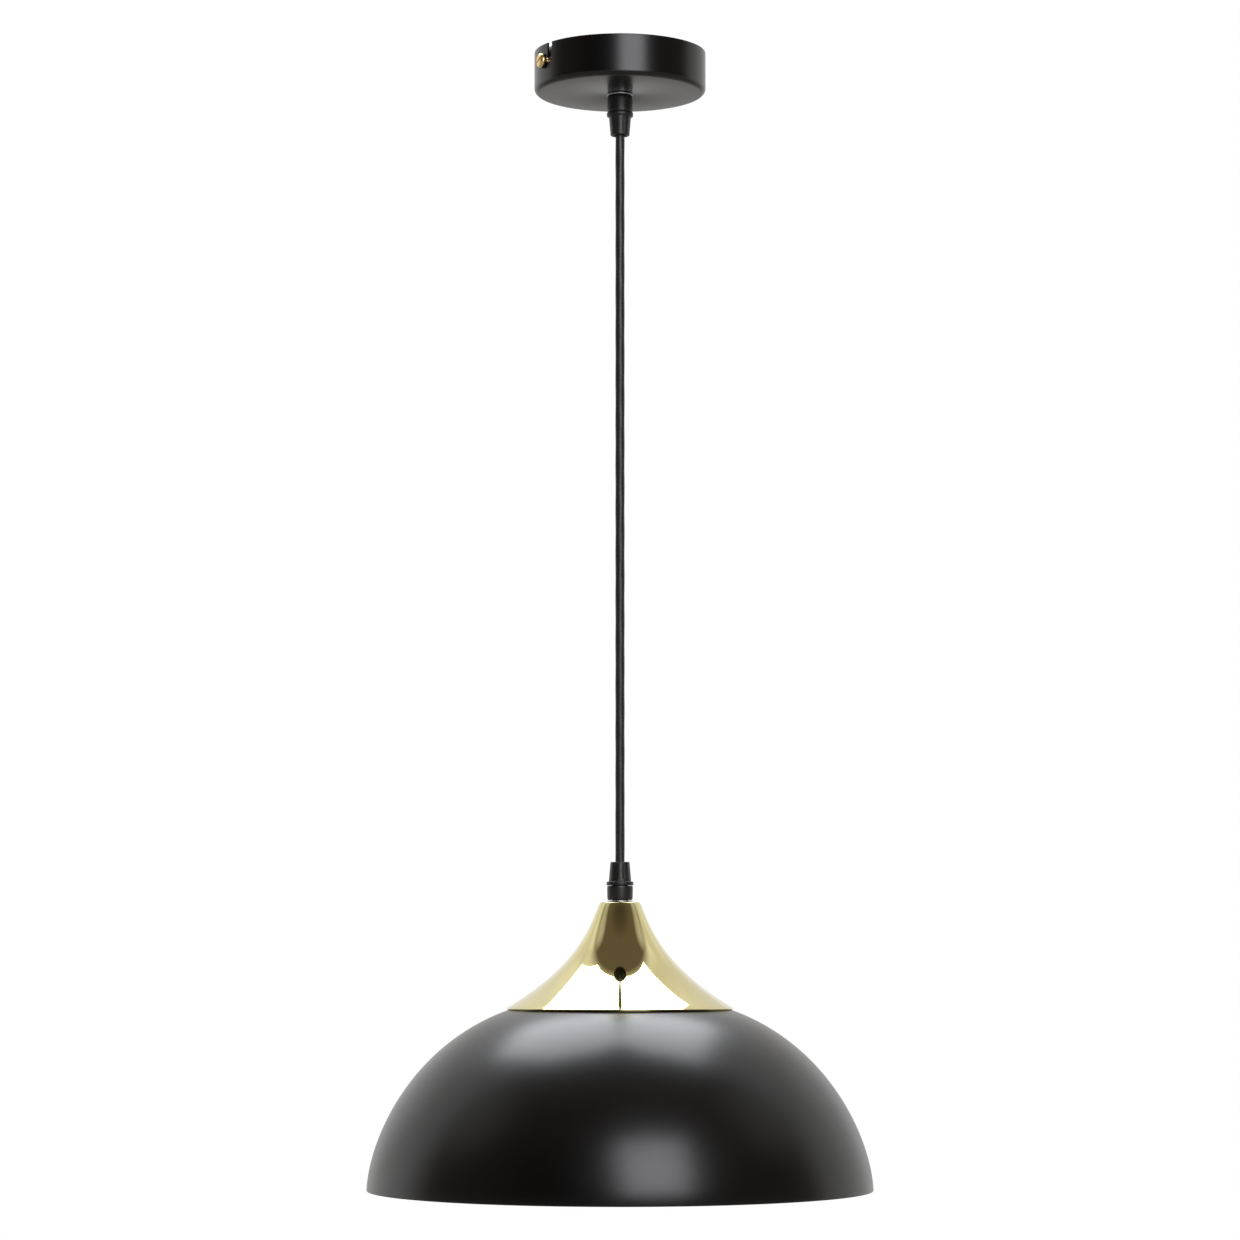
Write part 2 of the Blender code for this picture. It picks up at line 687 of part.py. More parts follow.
def dome(mat, parent):
    """A spun shade, one wall thick all over, with a flat crown round the holder's hole."""
    curve = []
    steps = 10
    for step in range(1, steps + 1):
        angle = math.pi / 2 * (1 - (1 - step / steps) ** 1.25)
        radius = DOME_RADIUS * math.sin(angle) ** (2 / DOME_SIDE_POWER)
        if radius > CROWN_FLAT_RADIUS + 0.003:
            curve.append((radius, DOME_RIM + dome_height(min(radius, DOME_RADIUS))))
    curve[-1] = (DOME_RADIUS, DOME_RIM)
    crown = [(CROWN_HOLE_RADIUS, CROWN_TOP), (CROWN_FLAT_RADIUS, CROWN_TOP)]
    outer = crown + curve
    inner = inward(outer, DOME_WALL)
    inner[0] = (CROWN_HOLE_RADIUS, CROWN_TOP - DOME_WALL)
    inner[-1] = (DOME_RADIUS - DOME_WALL, DOME_RIM)
    turned("dome_shade", outer + list(reversed(inner)), SHEET_SEGMENTS, mat, parent)


# ---- the lamp holder ---------------------------------------------------------------------


def nipple(mat, parent):
    profile = [
        (THREAD_RADIUS, NIPPLE_TOP),
        (THREAD_RADIUS, NIPPLE_BOTTOM),
        (NIPPLE_BORE, NIPPLE_BOTTOM),
        (NIPPLE_BORE, NIPPLE_TOP),
    ]
    turned("threaded_nipple", profile, SMALL_SEGMENTS, mat, parent)


def holder_cap(mat, parent):
    wall = HOLDER_WALL
    width = HOLDER_RADIUS - BOSS_RADIUS
    centre = (BOSS_RADIUS, SHOULDER_BASE)
    inner_size = (width - wall, SHOULDER_RISE - wall)
    profile = [(BOSS_RADIUS, HOLDER_TOP)]
    profile += arc(centre, (width, SHOULDER_RISE), 90, 0, 5)
    profile += [(HOLDER_RADIUS, HOLDER_SPLIT), (HOLDER_RADIUS - wall, HOLDER_SPLIT)]
    profile += arc(centre, inner_size, 0, 90, 5)
    under_boss = SHOULDER_BASE + inner_size[1]
    profile += [(THREAD_BORE, under_boss), (THREAD_BORE, HOLDER_TOP)]
    turned("holder_cap", profile, HOLDER_SEGMENTS, mat, parent)


def holder_body(mat, parent):
    """The threaded skirt, with the flange that the dome is clamped against."""
    flange_top = FLANGE_BOTTOM + FLANGE_THICKNESS
    profile = [
        (HOLDER_RADIUS, HOLDER_SPLIT - GAP),
        (HOLDER_RADIUS, flange_top),
        (FLANGE_RADIUS, flange_top),
        (FLANGE_RADIUS, FLANGE_BOTTOM),
        (SKIRT_RADIUS, FLANGE_BOTTOM),
        (SKIRT_RADIUS, SKIRT_BOTTOM),
        (SKIRT_BORE, SKIRT_BOTTOM),
        (SKIRT_BORE, HOLDER_SPLIT - GAP),
    ]
    turned("holder_body", profile, HOLDER_SEGMENTS, mat, parent)


def holder_insert(mat, parent):
    """The insulating base, with a well below for the spring contact."""
    radius = SKIRT_BORE * math.cos(math.pi / HOLDER_SEGMENTS) - GAP
    profile = [
        (0, INSERT_TOP),
        (radius, INSERT_TOP),
        (radius, INSERT_BOTTOM),
        (CONTACT_WELL_RADIUS, INSERT_BOTTOM),
        (CONTACT_WELL_RADIUS, INSERT_BOTTOM + CONTACT_WELL_DEPTH),
        (0, INSERT_BOTTOM + CONTACT_WELL_DEPTH),
    ]
    turned("holder_insert", profile, HOLDER_SEGMENTS, mat, parent, solid=True)


def holder_terminals(brass, parent):
    bottom = INSERT_TOP + GAP
    top = bottom + TERMINAL_HEIGHT
    half = TERMINAL_HALF_WIDTH
    for name, side in (("live", -1), ("neutral", 1)):
        x = side * TERMINAL_X
        outline = rectangle(x - half, x + half, -half, half)
        block = prism(f"holder_terminal_{name}", outline, bottom, top, brass, parent)
        entry = circle(TERMINAL_ENTRY_RADIUS, 10, (x, 0))
        middle = (bottom + top) / 2
        cut(block, prism(f"{name}_entry", entry, middle, top + CUT_MARGIN))


def screw_shell(brass, parent):
    """The shell that the lamp's cap screws into, open below, with a hole for the contact."""
    top = INSERT_BOTTOM - GAP
    wall = SHELL_RADIUS - SHELL_BORE
    profile = [
        (SHELL_RADIUS, top),
        (SHELL_RADIUS, SHELL_BOTTOM),
        (SHELL_BORE, SHELL_BOTTOM),
        (SHELL_BORE, top - wall),
        (SHELL_HOLE_RADIUS, top - wall),
        (SHELL_HOLE_RADIUS, top),
    ]
    turned("screw_shell", profile, HOLDER_SEGMENTS, brass, parent)


def centre_contact(brass, parent):
    shoulder = CONTACT_FACE + CONTACT_THICKNESS
    profile = [
        (0, CONTACT_TOP),
        (CONTACT_STEM_RADIUS, CONTACT_TOP),
        (CONTACT_STEM_RADIUS, shoulder),
        (CONTACT_RADIUS, shoulder),
        (CONTACT_RADIUS, CONTACT_FACE),
        (0, CONTACT_FACE),
    ]
    turned("centre_contact", profile, SMALL_SEGMENTS, brass, parent, solid=True)


def shade_ring(mat, parent):
    bottom = RING_TOP - RING_HEIGHT
    profile = [
        (RING_RADIUS, RING_TOP),
        (RING_RADIUS, RING_TOP - RING_FLANGE_HEIGHT),
        (RING_BODY_RADIUS, RING_TOP - RING_FLANGE_HEIGHT),
        (RING_BODY_RADIUS, bottom),
        (RING_BORE, bottom),
        (RING_BORE, RING_TOP),
    ]
    turned("shade_ring", profile, HOLDER_SEGMENTS, mat, parent)


def lower_cores(live, neutral, earth, parent):
    """The three cores at the lamp holder: two to its terminals, one to the earth tag."""
    start = JACKET_BOTTOM - GAP
    entry = INSERT_TOP + GAP + 0.7 * TERMINAL_HEIGHT
    for name, mat, side in (("wire_live_bottom", live, -1), ("wire_neutral_bottom", neutral, 1)):
        route = [
            (side * 0.0012, -0.0007, start),
            (side * 0.0016, -0.0012, start - 0.0025),
            (side * 0.0062, -0.0012, start - 0.0060),
            (side * TERMINAL_X, 0, start - 0.0088),
            (side * TERMINAL_X, 0, entry),
        ]
        tube(name, route, CORE_RADIUS, CORE_POINT_SPACING, mat, parent)
    route = [
        (0, 0.0014, start),
        (0, 0.0022, start - 0.0026),
        (0, 0.0060, start - 0.0046),
        (0, 0.0105, start - 0.0030),
        (0, 0.0107, start + 0.0006),
        (0, 0.0096, -0.5374),
    ]
    tube("wire_earth_bottom", route, CORE_RADIUS, CORE_POINT_SPACING, earth, parent)


def lamp_holder(black, ceramic, brass, steel, parent, dome_travel):
    nipple(steel, parent)
    hex_nut("cap_nut", CAP_TOP - CAP_WALL - GAP, NUT_HEIGHT, steel, parent)
    hex_nut("holder_lock_nut", HOLDER_TOP + GAP + NUT_HEIGHT, NUT_HEIGHT, steel, parent)
    holder_cap(black, parent)
    under_boss = SHOULDER_BASE + SHOULDER_RISE - HOLDER_WALL
    tag_frame = Matrix.Rotation(math.pi / 2, 4, "Z")
    tag_top = under_boss - GAP
    bore = THREAD_BORE
    ring_tag("earth_tag_bottom", tag_top, bore, 0.0080, 0.0102, steel, parent, tag_frame)
    hex_nut("holder_inner_nut", tag_top - TAG_THICKNESS - GAP, NUT_HEIGHT, steel, parent)
    holder_insert(ceramic, parent)
    holder_terminals(brass, parent)
    screw_shell(brass, parent)
    holder_body(black, parent)
    contact_axis = pivot("centre_contact_axis", (0, 0, CONTACT_FACE), parent)
    centre_contact(brass, contact_axis)
    shade_ring(black, dome_travel)


# ---- assembly ----------------------------------------------------------------------------


def main():
    clear_scene()

    black_paint = material("black_paint", (0.012, 0.012, 0.013), 0.38)
    black_plastic = material("black_plastic", (0.012, 0.012, 0.012), 0.45)
    rubber = material("rubber", (0.02, 0.02, 0.02), 0.8)
    cord_pvc = material("black_pvc", (0.016, 0.016, 0.017), 0.4)
    gold = material("polished_brass", (0.76, 0.67, 0.34), 0.06, 1.0)
    brass = material("brass", (0.80, 0.62, 0.30), 0.25, 1.0)
    steel = material("zinc_steel", (0.62, 0.63, 0.65), 0.35, 1.0)
    white_nylon = material("white_nylon", (0.85, 0.85, 0.83), 0.5)
    ceramic = material("ceramic", (0.86, 0.85, 0.82), 0.3)
    brown = material("live_brown", (0.16, 0.06, 0.025), 0.45)
    blue = material("neutral_blue", (0.03, 0.10, 0.42), 0.45)
    green = material("earth_green", (0.10, 0.42, 0.06), 0.45)

    root = pivot("ceiling")
    bracket_pivot = pivot("bracket_axis", parent=root, turn=(0, 0, SCREW_AXIS_ANGLE))
    frame = bracket_pivot.matrix_world.copy()
    mounting_bracket(steel, bracket_pivot, frame)
    terminal_block(white_nylon, brass, bracket_pivot, frame)
    earth_fittings(steel, brass, bracket_pivot, frame)
    upper_cores(brown, blue, green, bracket_pivot, frame)
    for side in (-1, 1):
        canopy_screw(side, brass, black_plastic, root)

    twist = pivot("canopy_twist_axis", parent=root)
    canopy(black_paint, twist)
    flat_ring(
        "upper_gland_ring", UPPER_RING_TOP, GLAND_RING_HEIGHT, GLAND_RING_RADIUS, steel, twist
    )
    washer_height = LOCK_WASHER_THICKNESS
    washer_top = CANOPY_BOTTOM + CANOPY_WALL + GAP + washer_height
    flat_ring("upper_lock_washer", washer_top, washer_height, LOCK_WASHER_RADIUS, steel, twist)
    hex_nut("upper_lock_nut", washer_top + GAP + NUT_HEIGHT, NUT_HEIGHT, steel, twist)
    upper_travel = pivot("upper_gland_nut_axis", (0, 0, UPPER_SEAT - UPPER_BODY_LENGTH), twist)
    gland(
        "upper",
        UPPER_SEAT,
        UPPER_BODY_LENGTH,
        True,
        GLAND_SPIGOT_LENGTH,
        black_plastic,
        rubber,
        twist,
        upper_travel,
    )
    straight_cord("cord_upper_end", CORD_TOP, SWING_SIDE_Z + GAP, cord_pvc, twist)

    swing_side = pivot("swing_side_axis", (0, 0, SWING_SIDE_Z), twist)
    straight_cord("cord_upper_bend", SWING_SIDE_Z, SWING_FRONT_Z + GAP, cord_pvc, swing_side)
    swing_front = pivot("swing_front_axis", (0, 0, SWING_FRONT_Z), swing_side)
    straight_cord("cord", SWING_FRONT_Z, SPIN_Z + GAP, cord_pvc, swing_front)
    spin = pivot("shade_spin_axis", (0, 0, SPIN_Z), swing_front)
    straight_cord("cord_lower_bend", SPIN_Z, TILT_Z + GAP, cord_pvc, spin)

    tilt = pivot("shade_tilt_axis", (0, 0, TILT_Z), spin)
    straight_cord("cord_lower_end", TILT_Z, JACKET_BOTTOM, cord_pvc, tilt)
    lower_travel = pivot("lower_gland_nut_axis", (0, 0, LOWER_SEAT + LOWER_BODY_LENGTH), tilt)
    gland(
        "lower",
        LOWER_SEAT,
        LOWER_BODY_LENGTH,
        False,
        -LOWER_TAIL_LENGTH,
        black_plastic,
        rubber,
        tilt,
        lower_travel,
    )
    flat_ring(
        "lower_gland_ring", LOWER_SEAT - GAP, GLAND_RING_HEIGHT, GLAND_RING_RADIUS, steel, tilt
    )
    brass_cap(gold, tilt)
    dome_travel = pivot("shade_ring_axis", (0, 0, RING_TOP), tilt)
    lamp_holder(black_plastic, ceramic, brass, steel, tilt, dome_travel)
    dome(black_paint, dome_travel)
    lower_cores(brown, blue, green, tilt)


main()
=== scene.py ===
"""The looks of a pendant ceiling light: fine meshes and procedural finishes, in place
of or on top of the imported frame. Metres, +Z up, the ceiling face at z = 0."""

import json
import math

import bmesh
import bpy
from mathutils import Matrix, Vector


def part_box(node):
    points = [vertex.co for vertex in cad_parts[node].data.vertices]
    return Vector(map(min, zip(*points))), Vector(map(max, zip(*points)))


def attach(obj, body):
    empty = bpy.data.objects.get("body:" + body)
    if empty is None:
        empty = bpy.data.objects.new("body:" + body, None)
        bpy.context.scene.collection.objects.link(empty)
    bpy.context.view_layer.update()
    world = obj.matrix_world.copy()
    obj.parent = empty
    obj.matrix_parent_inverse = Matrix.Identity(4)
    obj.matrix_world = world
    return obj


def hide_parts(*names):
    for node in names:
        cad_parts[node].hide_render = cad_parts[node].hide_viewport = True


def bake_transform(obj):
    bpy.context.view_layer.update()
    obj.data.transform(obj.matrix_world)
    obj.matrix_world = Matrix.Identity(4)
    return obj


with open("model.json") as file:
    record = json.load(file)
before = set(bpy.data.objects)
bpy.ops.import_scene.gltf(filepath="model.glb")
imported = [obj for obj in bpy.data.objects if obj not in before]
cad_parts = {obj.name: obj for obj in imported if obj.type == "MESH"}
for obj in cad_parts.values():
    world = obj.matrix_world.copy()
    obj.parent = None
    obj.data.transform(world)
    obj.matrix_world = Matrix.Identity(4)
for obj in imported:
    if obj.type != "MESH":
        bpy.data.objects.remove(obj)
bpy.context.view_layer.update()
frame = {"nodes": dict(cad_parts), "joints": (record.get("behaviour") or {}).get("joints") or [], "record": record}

JOINTS = {joint["name"]: joint for joint in frame["joints"]}
BODY_OF = {
    node: body
    for body, nodes in frame["record"]["behaviour"]["bodies"].items()
    for node in nodes
}

# ---- sizes ------------------------------------------------------------------------------

GAP = 0.0003
FINEST = 256  # segments round the largest turned pieces
FINE = 192
RIBBED = 120
MEDIUM = 96
SMALL = 64
SMOOTH_ANGLE = math.radians(38)

CANOPY_WALL = 0.0012
CANOPY_FILLET = 0.0030
SLOT_CUT = (0.046, 0.056)  # the bayonet slots' cutters, from and to this far off the axis

THREAD_BORE = 0.0053  # clear hole for an M10 thread
THREAD_RADIUS = 0.00495
THREAD_PITCH = 0.0010
THREAD_DEPTH = 0.0004
NIPPLE_BORE = 0.0039

SCREW_RADIUS = 0.00195
SCREW_PITCH = 0.0007
SCREW_THREAD_DEPTH = 0.0003
SCREW_HEAD_RADIUS = 0.0044
SCREW_HEAD_HEIGHT = 0.0024
SCREW_CROWN = 0.0017  # the rounded part of the head's height
SCREW_CROWN_RADIUS = 0.0022
SCREW_HOLE = 0.0023
SCREW_END = 0.0440  # from the lamp's axis
SCREW_SEGMENTS = 48
WASHER_HEIGHT = 0.0004
DRIVER_SLOT_TURN = math.radians(20)
DRIVER_SLOT_WIDTH = 0.0012
DRIVER_SLOT_DEPTH = 0.0011

CORD_RADIUS = 0.0028
CORD_LOBE = 0.00011  # how far the jacket dips between the three cores below it
CORE_LAY = 0.080  # one full turn of the cores
CORD_SIDES = 36
CORD_RING_SPACING = 0.0016
LOBE_FADE = 0.012  # the length in which the lobes grow from a turning end
CORD_CUT = 0.0001  # between the two pieces that turn against each other

GLAND_SPIGOT = 0.0075  # length of the spigot that the nut screws onto
GLAND_SPIGOT_RADIUS = 0.0049
GLAND_PASSAGE = 0.0035
GLAND_WAIST = 0.0052  # anything wider is a gland's outside, not its threads
UPPER_TAIL = 0.0075  # the upper body's tail goes through the canopy
LOWER_SOCKET = 0.0055  # the lower body's socket takes the nipple
NUT_COLLAR = 0.0022  # height of the collar below the nose
NUT_COLLAR_RADIUS = 0.0080
NOSE_RADIUS = 0.0067
NOSE_TAPER = 0.0010
NOSE_FLUTES = 8
NOSE_FLUTE_DEPTH = 0.00018

CAP_WALL = 0.0010
CAP_TOP_RADIUS = 0.01184
CAP_TOP_PULL = (0.0052, -0.0100)  # from the flare's top to its curve's control point
CAP_BASE_PULL = (-0.0464, 0.0273)  # the same from its base
CAP_SEAM = 0.0011  # the rim is turned under by this much, above a dark seam
CAP_LIP = 0.0025
DOME_WALL = 0.0010
DOME_RISE = 0.1154
DOME_SIDE_POWER = 2.512
DOME_TOP_POWER = 1.655
CROWN_FLAT_RADIUS = 0.0262
CROWN_HOLE_RADIUS = 0.0204

HOLDER_WALL = 0.0016
HOLDER_BOSS_RADIUS = 0.0090
HOLDER_SHOULDER = -0.5470  # the height where the holder cap's dome meets its wall
HOLDER_RISE = 0.0127
FLANGE_HEIGHT = 0.0020
SKIRT_RADIUS = 0.0196
SKIRT_BORE = 0.0176
SKIRT_THREAD_DEPTH = 0.0006
RING_BORE = 0.0201
RING_BODY_RADIUS = 0.0232
RING_FLANGE = 0.0025
RING_RIBS = 30
RING_PITCH = 0.0025
RING_THREAD_DEPTH = 0.00045
WELL_RADIUS = 0.0045  # of the contact's well in the insert
WELL_DEPTH = 0.0040
CONTACT_STEM = 0.0020
CONTACT_BUTTON = 0.0012
CONTACT_HOLE = 0.0060
SHELL_PITCH = 0.00362
SHELL_DEPTH = 0.00085
SHELL_WALL = 0.0004

CAMERA_PLACE = (0.0, -2.2527, -0.5427)
CAMERA_TILT = 0.08699  # radians above level
CAMERA_LENS = 109.3
SENSOR_WIDTH = 36.0

FLOOR_HEIGHT = -3.2
FLOOR_RADIUS = 31.0
FLOOR_FADE = (8.0, 22.0)  # the floor is plain nearer than this, and white beyond
FLOOR_COLOUR = (0.74, 0.73, 0.72)
WHITE = (1.0, 1.0, 1.0)
PALE_ROOM = ((0.82, 0.80, 0.78), WHITE)
DIM_ROOM = ((0.045, 0.035, 0.027), (0.150, 0.118, 0.092))
OVERHEAD_HEIGHT = 0.80
OVERHEAD_OUTLINE = [(0.66, 0.12), (0.62, 1.43), (-0.62, 1.43), (-1.00, 0.72), (-0.58, 0.12)]
OVERHEAD_RADIANCE = 6.6
OVERHEAD_TINT = (0.92, 0.955, 1.0)
FRONT_PLACE = Vector((0.56, -1.95, 0.34))
FRONT_AIM = Vector((0, 0, -0.6))
FRONT_OUTLINE = [(-0.58, -0.66), (0.58, -0.66), (0.58, 0.66), (-0.58, 0.66)]
FRONT_RADIANCE = 6.5
FRONT_TINT = (0.96, 0.955, 1.0)

# ---- meshes -----------------------------------------------------------------------------


def as_object(name, mesh):
    obj = bpy.data.objects.new(name, mesh)
    bpy.context.scene.collection.objects.link(obj)
    return obj


def shade(mesh, angle=SMOOTH_ANGLE):
    mesh.shade_smooth()
    mesh.set_sharp_from_angle(angle=angle)


def arc(centre, radii, start, end, steps):
    """Points of an elliptical arc in the (radius, height) plane, angles in degrees."""
    points = []
    for step in range(steps + 1):
        angle = math.radians(start + (end - start) * step / steps)
        points.append(
            (centre[0] + radii[0] * math.cos(angle), centre[1] + radii[1] * math.sin(angle))
        )
    return points


def eased(corners, steps=3, closed=True):
    """A profile with its corners rounded. A corner is (radius, height, easing), and one
    without an easing stays as it is."""
    points = []
    count = len(corners)
    for index, corner in enumerate(corners):
        here = Vector(corner[:2])
        at_end = not closed and index in (0, count - 1)
        if len(corner) < 3 or at_end:
            points.append(tuple(here))
            continue
        to_before = Vector(corners[index - 1][:2]) - here
        to_after = Vector(corners[(index + 1) % count][:2]) - here
        reach = min(corner[2], 0.45 * to_before.length, 0.45 * to_after.length)
        start = here + to_before.normalized() * reach
        end = here + to_after.normalized() * reach
        for step in range(steps + 1):
            t = step / steps
            points.append(tuple((1 - t) ** 2 * start + 2 * t * (1 - t) * here + t**2 * end))
    return points


def inward(points, thickness):
    """The same run of points moved towards the axis side by one wall thickness."""
    moved = []
    for index, (radius, height) in enumerate(points):
        before = Vector(points[max(index - 1, 0)])
        after = Vector(points[min(index + 1, len(points) - 1)])
        along = (after - before).normalized()
        moved.append((radius + along.y * thickness, height - along.x * thickness))
    return moved


def turned_mesh(name, profile, segments, closed=True, shape=None):
    """A turned surface. A closed profile is a ring in section; an open one starts and
    ends on the axis. shape(radius, height, angle) gives the radius where it isn't round."""
    bm = bmesh.new()
    rings = []
    for radius, height in profile:
        if radius < 1e-7:
            rings.append([bm.verts.new((0, 0, height))])
            continue
        ring = []
        for step in range(segments):
            angle = math.tau * step / segments
            reach = shape(radius, height, angle) if shape else radius
            ring.append(bm.verts.new((reach * math.cos(angle), reach * math.sin(angle), height)))
        rings.append(ring)
    pairs = list(zip(rings, rings[1:]))
    if closed:
        pairs.append((rings[-1], rings[0]))
    for upper, lower in pairs:
        for step in range(segments):
            after = (step + 1) % segments
            corners = [upper[step % len(upper)], upper[after % len(upper)]]
            corners += [lower[after % len(lower)], lower[step % len(lower)]]
            bm.faces.new(list(dict.fromkeys(corners)))
    bmesh.ops.recalc_face_normals(bm, faces=bm.faces)
    mesh = bpy.data.meshes.new(name)
    bm.to_mesh(mesh)
    bm.free()
    shade(mesh)
    return mesh


def turned(name, profile, segments=MEDIUM, closed=True, shape=None, place=None):
    obj = as_object(name, turned_mesh(name, profile, segments, closed, shape))
    if place is not None:
        obj.data.transform(place)
    return obj


def helix(pitch, depth, low, high):
    """A shape for turned: a rounded thread cut into the surface between two heights."""

    def shape(radius, height, angle):
        run_in = min(1.0, max(0.0, min(height - low, high - height) / (0.4 * pitch)))
        phase = (height / pitch - angle / math.tau) % 1.0
        wave = 0.5 - 0.5 * math.cos(math.tau * phase)
        return radius - depth * run_in * wave

    return shape


def rows(low, high, spacing):
    """Heights from low to high at about this spacing."""
    count = max(1, round(abs(high - low) / spacing))
    return [low + (high - low) * step / count for step in range(count + 1)]


def prism(name, outline, low, high, placing):
    """A cutter: an outline in the local XY plane, extruded along local Z."""
    bm = bmesh.new()
    face = bm.faces.new([bm.verts.new((x, y, low)) for x, y in outline])
    grown = bmesh.ops.extrude_face_region(bm, geom=[face])
    verts = [item for item in grown["geom"] if isinstance(item, bmesh.types.BMVert)]
    bmesh.ops.translate(bm, verts=verts, vec=(0, 0, high - low))
    bmesh.ops.recalc_face_normals(bm, faces=bm.faces)
    mesh = bpy.data.meshes.new(name)
    bm.to_mesh(mesh)
    bm.free()
    mesh.transform(placing)
    return as_object(name, mesh)


def settle(obj):
    """Applies an object's modifiers to its mesh."""
    bpy.context.view_layer.update()
    graph = bpy.context.evaluated_depsgraph_get()
    mesh = bpy.data.meshes.new_from_object(obj.evaluated_get(graph))
    obj.modifiers.clear()
    obj.data = mesh
    shade(mesh)
    return obj


def cut(target, cutters):
    """Takes the cutters out of the target, then removes them."""
    for cutter in cutters:
        boolean = target.modifiers.new("Cut", "BOOLEAN")
        boolean.operation = "DIFFERENCE"
        boolean.solver = "EXACT"
        boolean.object = cutter
    settle(target)
    for cutter in cutters:
        bpy.data.objects.remove(cutter, do_unlink=True)


def ease_edges(obj, width, segments=2):
    bevel = obj.modifiers.new("Edges", "BEVEL")
    bevel.width = width
    bevel.segments = segments
    bevel.limit_method = "ANGLE"
    bevel.angle_limit = SMOOTH_ANGLE
    return settle(obj)


def softened(node, width, rounding=0):
    """A fine copy of a frame node: welded, its flat faces whole, its edges eased, and
    rounded by subdivision where it is a wire."""
    bm = bmesh.new()
    bm.from_mesh(frame["nodes"][node].data)
    bmesh.ops.remove_doubles(bm, verts=bm.verts, dist=1e-6)
    if rounding:
        limit = math.radians(60)
        bmesh.ops.join_triangles(
            bm, faces=bm.faces, angle_face_threshold=limit, angle_shape_threshold=limit
        )
    else:
        limit = math.radians(0.5)
        bmesh.ops.dissolve_limit(bm, angle_limit=limit, verts=bm.verts, edges=bm.edges)
    mesh = bpy.data.meshes.new(node + "_fine")
    bm.to_mesh(mesh)
    bm.free()
    if "custom_normal" in mesh.attributes:
        mesh.attributes.remove(mesh.attributes["custom_normal"])
    mesh.materials.clear()
    obj = as_object(node + "_fine", mesh)
    if rounding:
        smooth = obj.modifiers.new("Round", "SUBSURF")
        smooth.levels = rounding
        smooth.render_levels = rounding
        return settle(obj)
    return ease_edges(obj, width)


def span(node):
    """(radius, bottom, top) of a round node that stands on the lamp's axis."""
    low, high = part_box(node)
    return high.x, low.z, high.z


def place_piece(obj, finish, node, body=None):
    """Gives a piece its finish and its body, and puts it in the place of a frame node."""
    obj.data.materials.clear()
    obj.data.materials.append(finish)
    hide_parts(node)
    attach(obj, body or BODY_OF[node])
    return obj


# ---- finishes ---------------------------------------------------------------------------


def add(tree, kind, inputs=None, **settings):
    """A shader node. An input is a number, a colour or another node's socket."""
    made = tree.nodes.new(kind)
    for name, value in settings.items():
        setattr(made, name, value)
    for name, value in (inputs or {}).items():
        if isinstance(value, bpy.types.NodeSocket):
            tree.links.new(value, made.inputs[name])
        else:
            made.inputs[name].default_value = value
    return made


def new_finish(name, sockets):
    """A material, its node tree and its shader, with these even values on the shader."""
    mat = bpy.data.materials.new(name)
    mat.use_nodes = True
    shader = mat.node_tree.nodes["Principled BSDF"]
    for socket, value in sockets.items():
        shader.inputs[socket].default_value = value
    return mat, mat.node_tree, shader


def object_place(tree, stretch=(1, 1, 1)):
    place = add(tree, "ShaderNodeTexCoord").outputs["Object"]
    return add(tree, "ShaderNodeMapping", {"Vector": place, "Scale": stretch}).outputs[0]


def noise(tree, scale, detail=2.0, stretch=(1, 1, 1)):
    place = object_place(tree, stretch)
    inputs = {"Vector": place, "Scale": scale, "Detail": detail, "Roughness": 0.55}
    return add(tree, "ShaderNodeTexNoise", inputs).outputs[0]


def blend_colour(tree, factor, first, second):
    mix = add(tree, "ShaderNodeMix", data_type="RGBA")
    tree.links.new(factor, mix.inputs[0])
    for index, colour in ((6, first), (7, second)):
        if isinstance(colour, bpy.types.NodeSocket):
            tree.links.new(colour, mix.inputs[index])
        else:
            mix.inputs[index].default_value = (*colour, 1.0)
    return mix.outputs[2]


def spread(tree, value, low, high, start=0.3, end=0.7):
    """Maps a value from start..end, where noise mostly lies, to low..high."""
    inputs = {"Value": value, "From Min": start, "From Max": end, "To Min": low, "To Max": high}
    return add(tree, "ShaderNodeMapRange", inputs).outputs[0]


def vary(tree, shader, colours, roughness, scale):
    """Slow changes of colour and roughness over the surface."""
    slow = noise(tree, scale, 3.0)
    factor = spread(tree, slow, 0.0, 1.0)
    tree.links.new(blend_colour(tree, factor, *colours), shader.inputs["Base Color"])
    quick = noise(tree, scale * 7.0, 2.0)
    tree.links.new(spread(tree, quick, *roughness), shader.inputs["Roughness"])


def emboss(tree, shader, layers):
    """Fine relief. Each layer is (height socket, strength, depth in metres)."""
    normal = None
    for height, strength, depth in layers:
        inputs = {"Height": height, "Strength": strength, "Distance": depth}
        if normal is not None:
            inputs["Normal"] = normal
        normal = add(tree, "ShaderNodeBump", inputs).outputs[0]
    tree.links.new(normal, shader.inputs["Normal"])


def black_paint():
    """Satin powder coat: nearly black, with a fine orange peel and a micro grain."""
    mat, tree, shader = new_finish("black_paint", {"IOR": 1.5, "Specular IOR Level": 0.42})
    vary(tree, shader, ((0.0006, 0.0006, 0.0007), (0.0012, 0.0012, 0.0013)), (0.278, 0.292), 30)
    peel = (noise(tree, 620), 0.02, 0.0001)
    grain = (noise(tree, 3600), 0.02, 0.00002)
    emboss(tree, shader, (peel, grain))
    return mat


def black_plastic():
    """Moulded nylon with a light spark-eroded grain."""
    mat, tree, shader = new_finish("black_plastic", {"IOR": 1.53})
    vary(tree, shader, ((0.0020, 0.0020, 0.0020), (0.0040, 0.0040, 0.0038)), (0.38, 0.48), 120)
    emboss(tree, shader, ((noise(tree, 2600), 0.20, 0.00005),))
    return mat


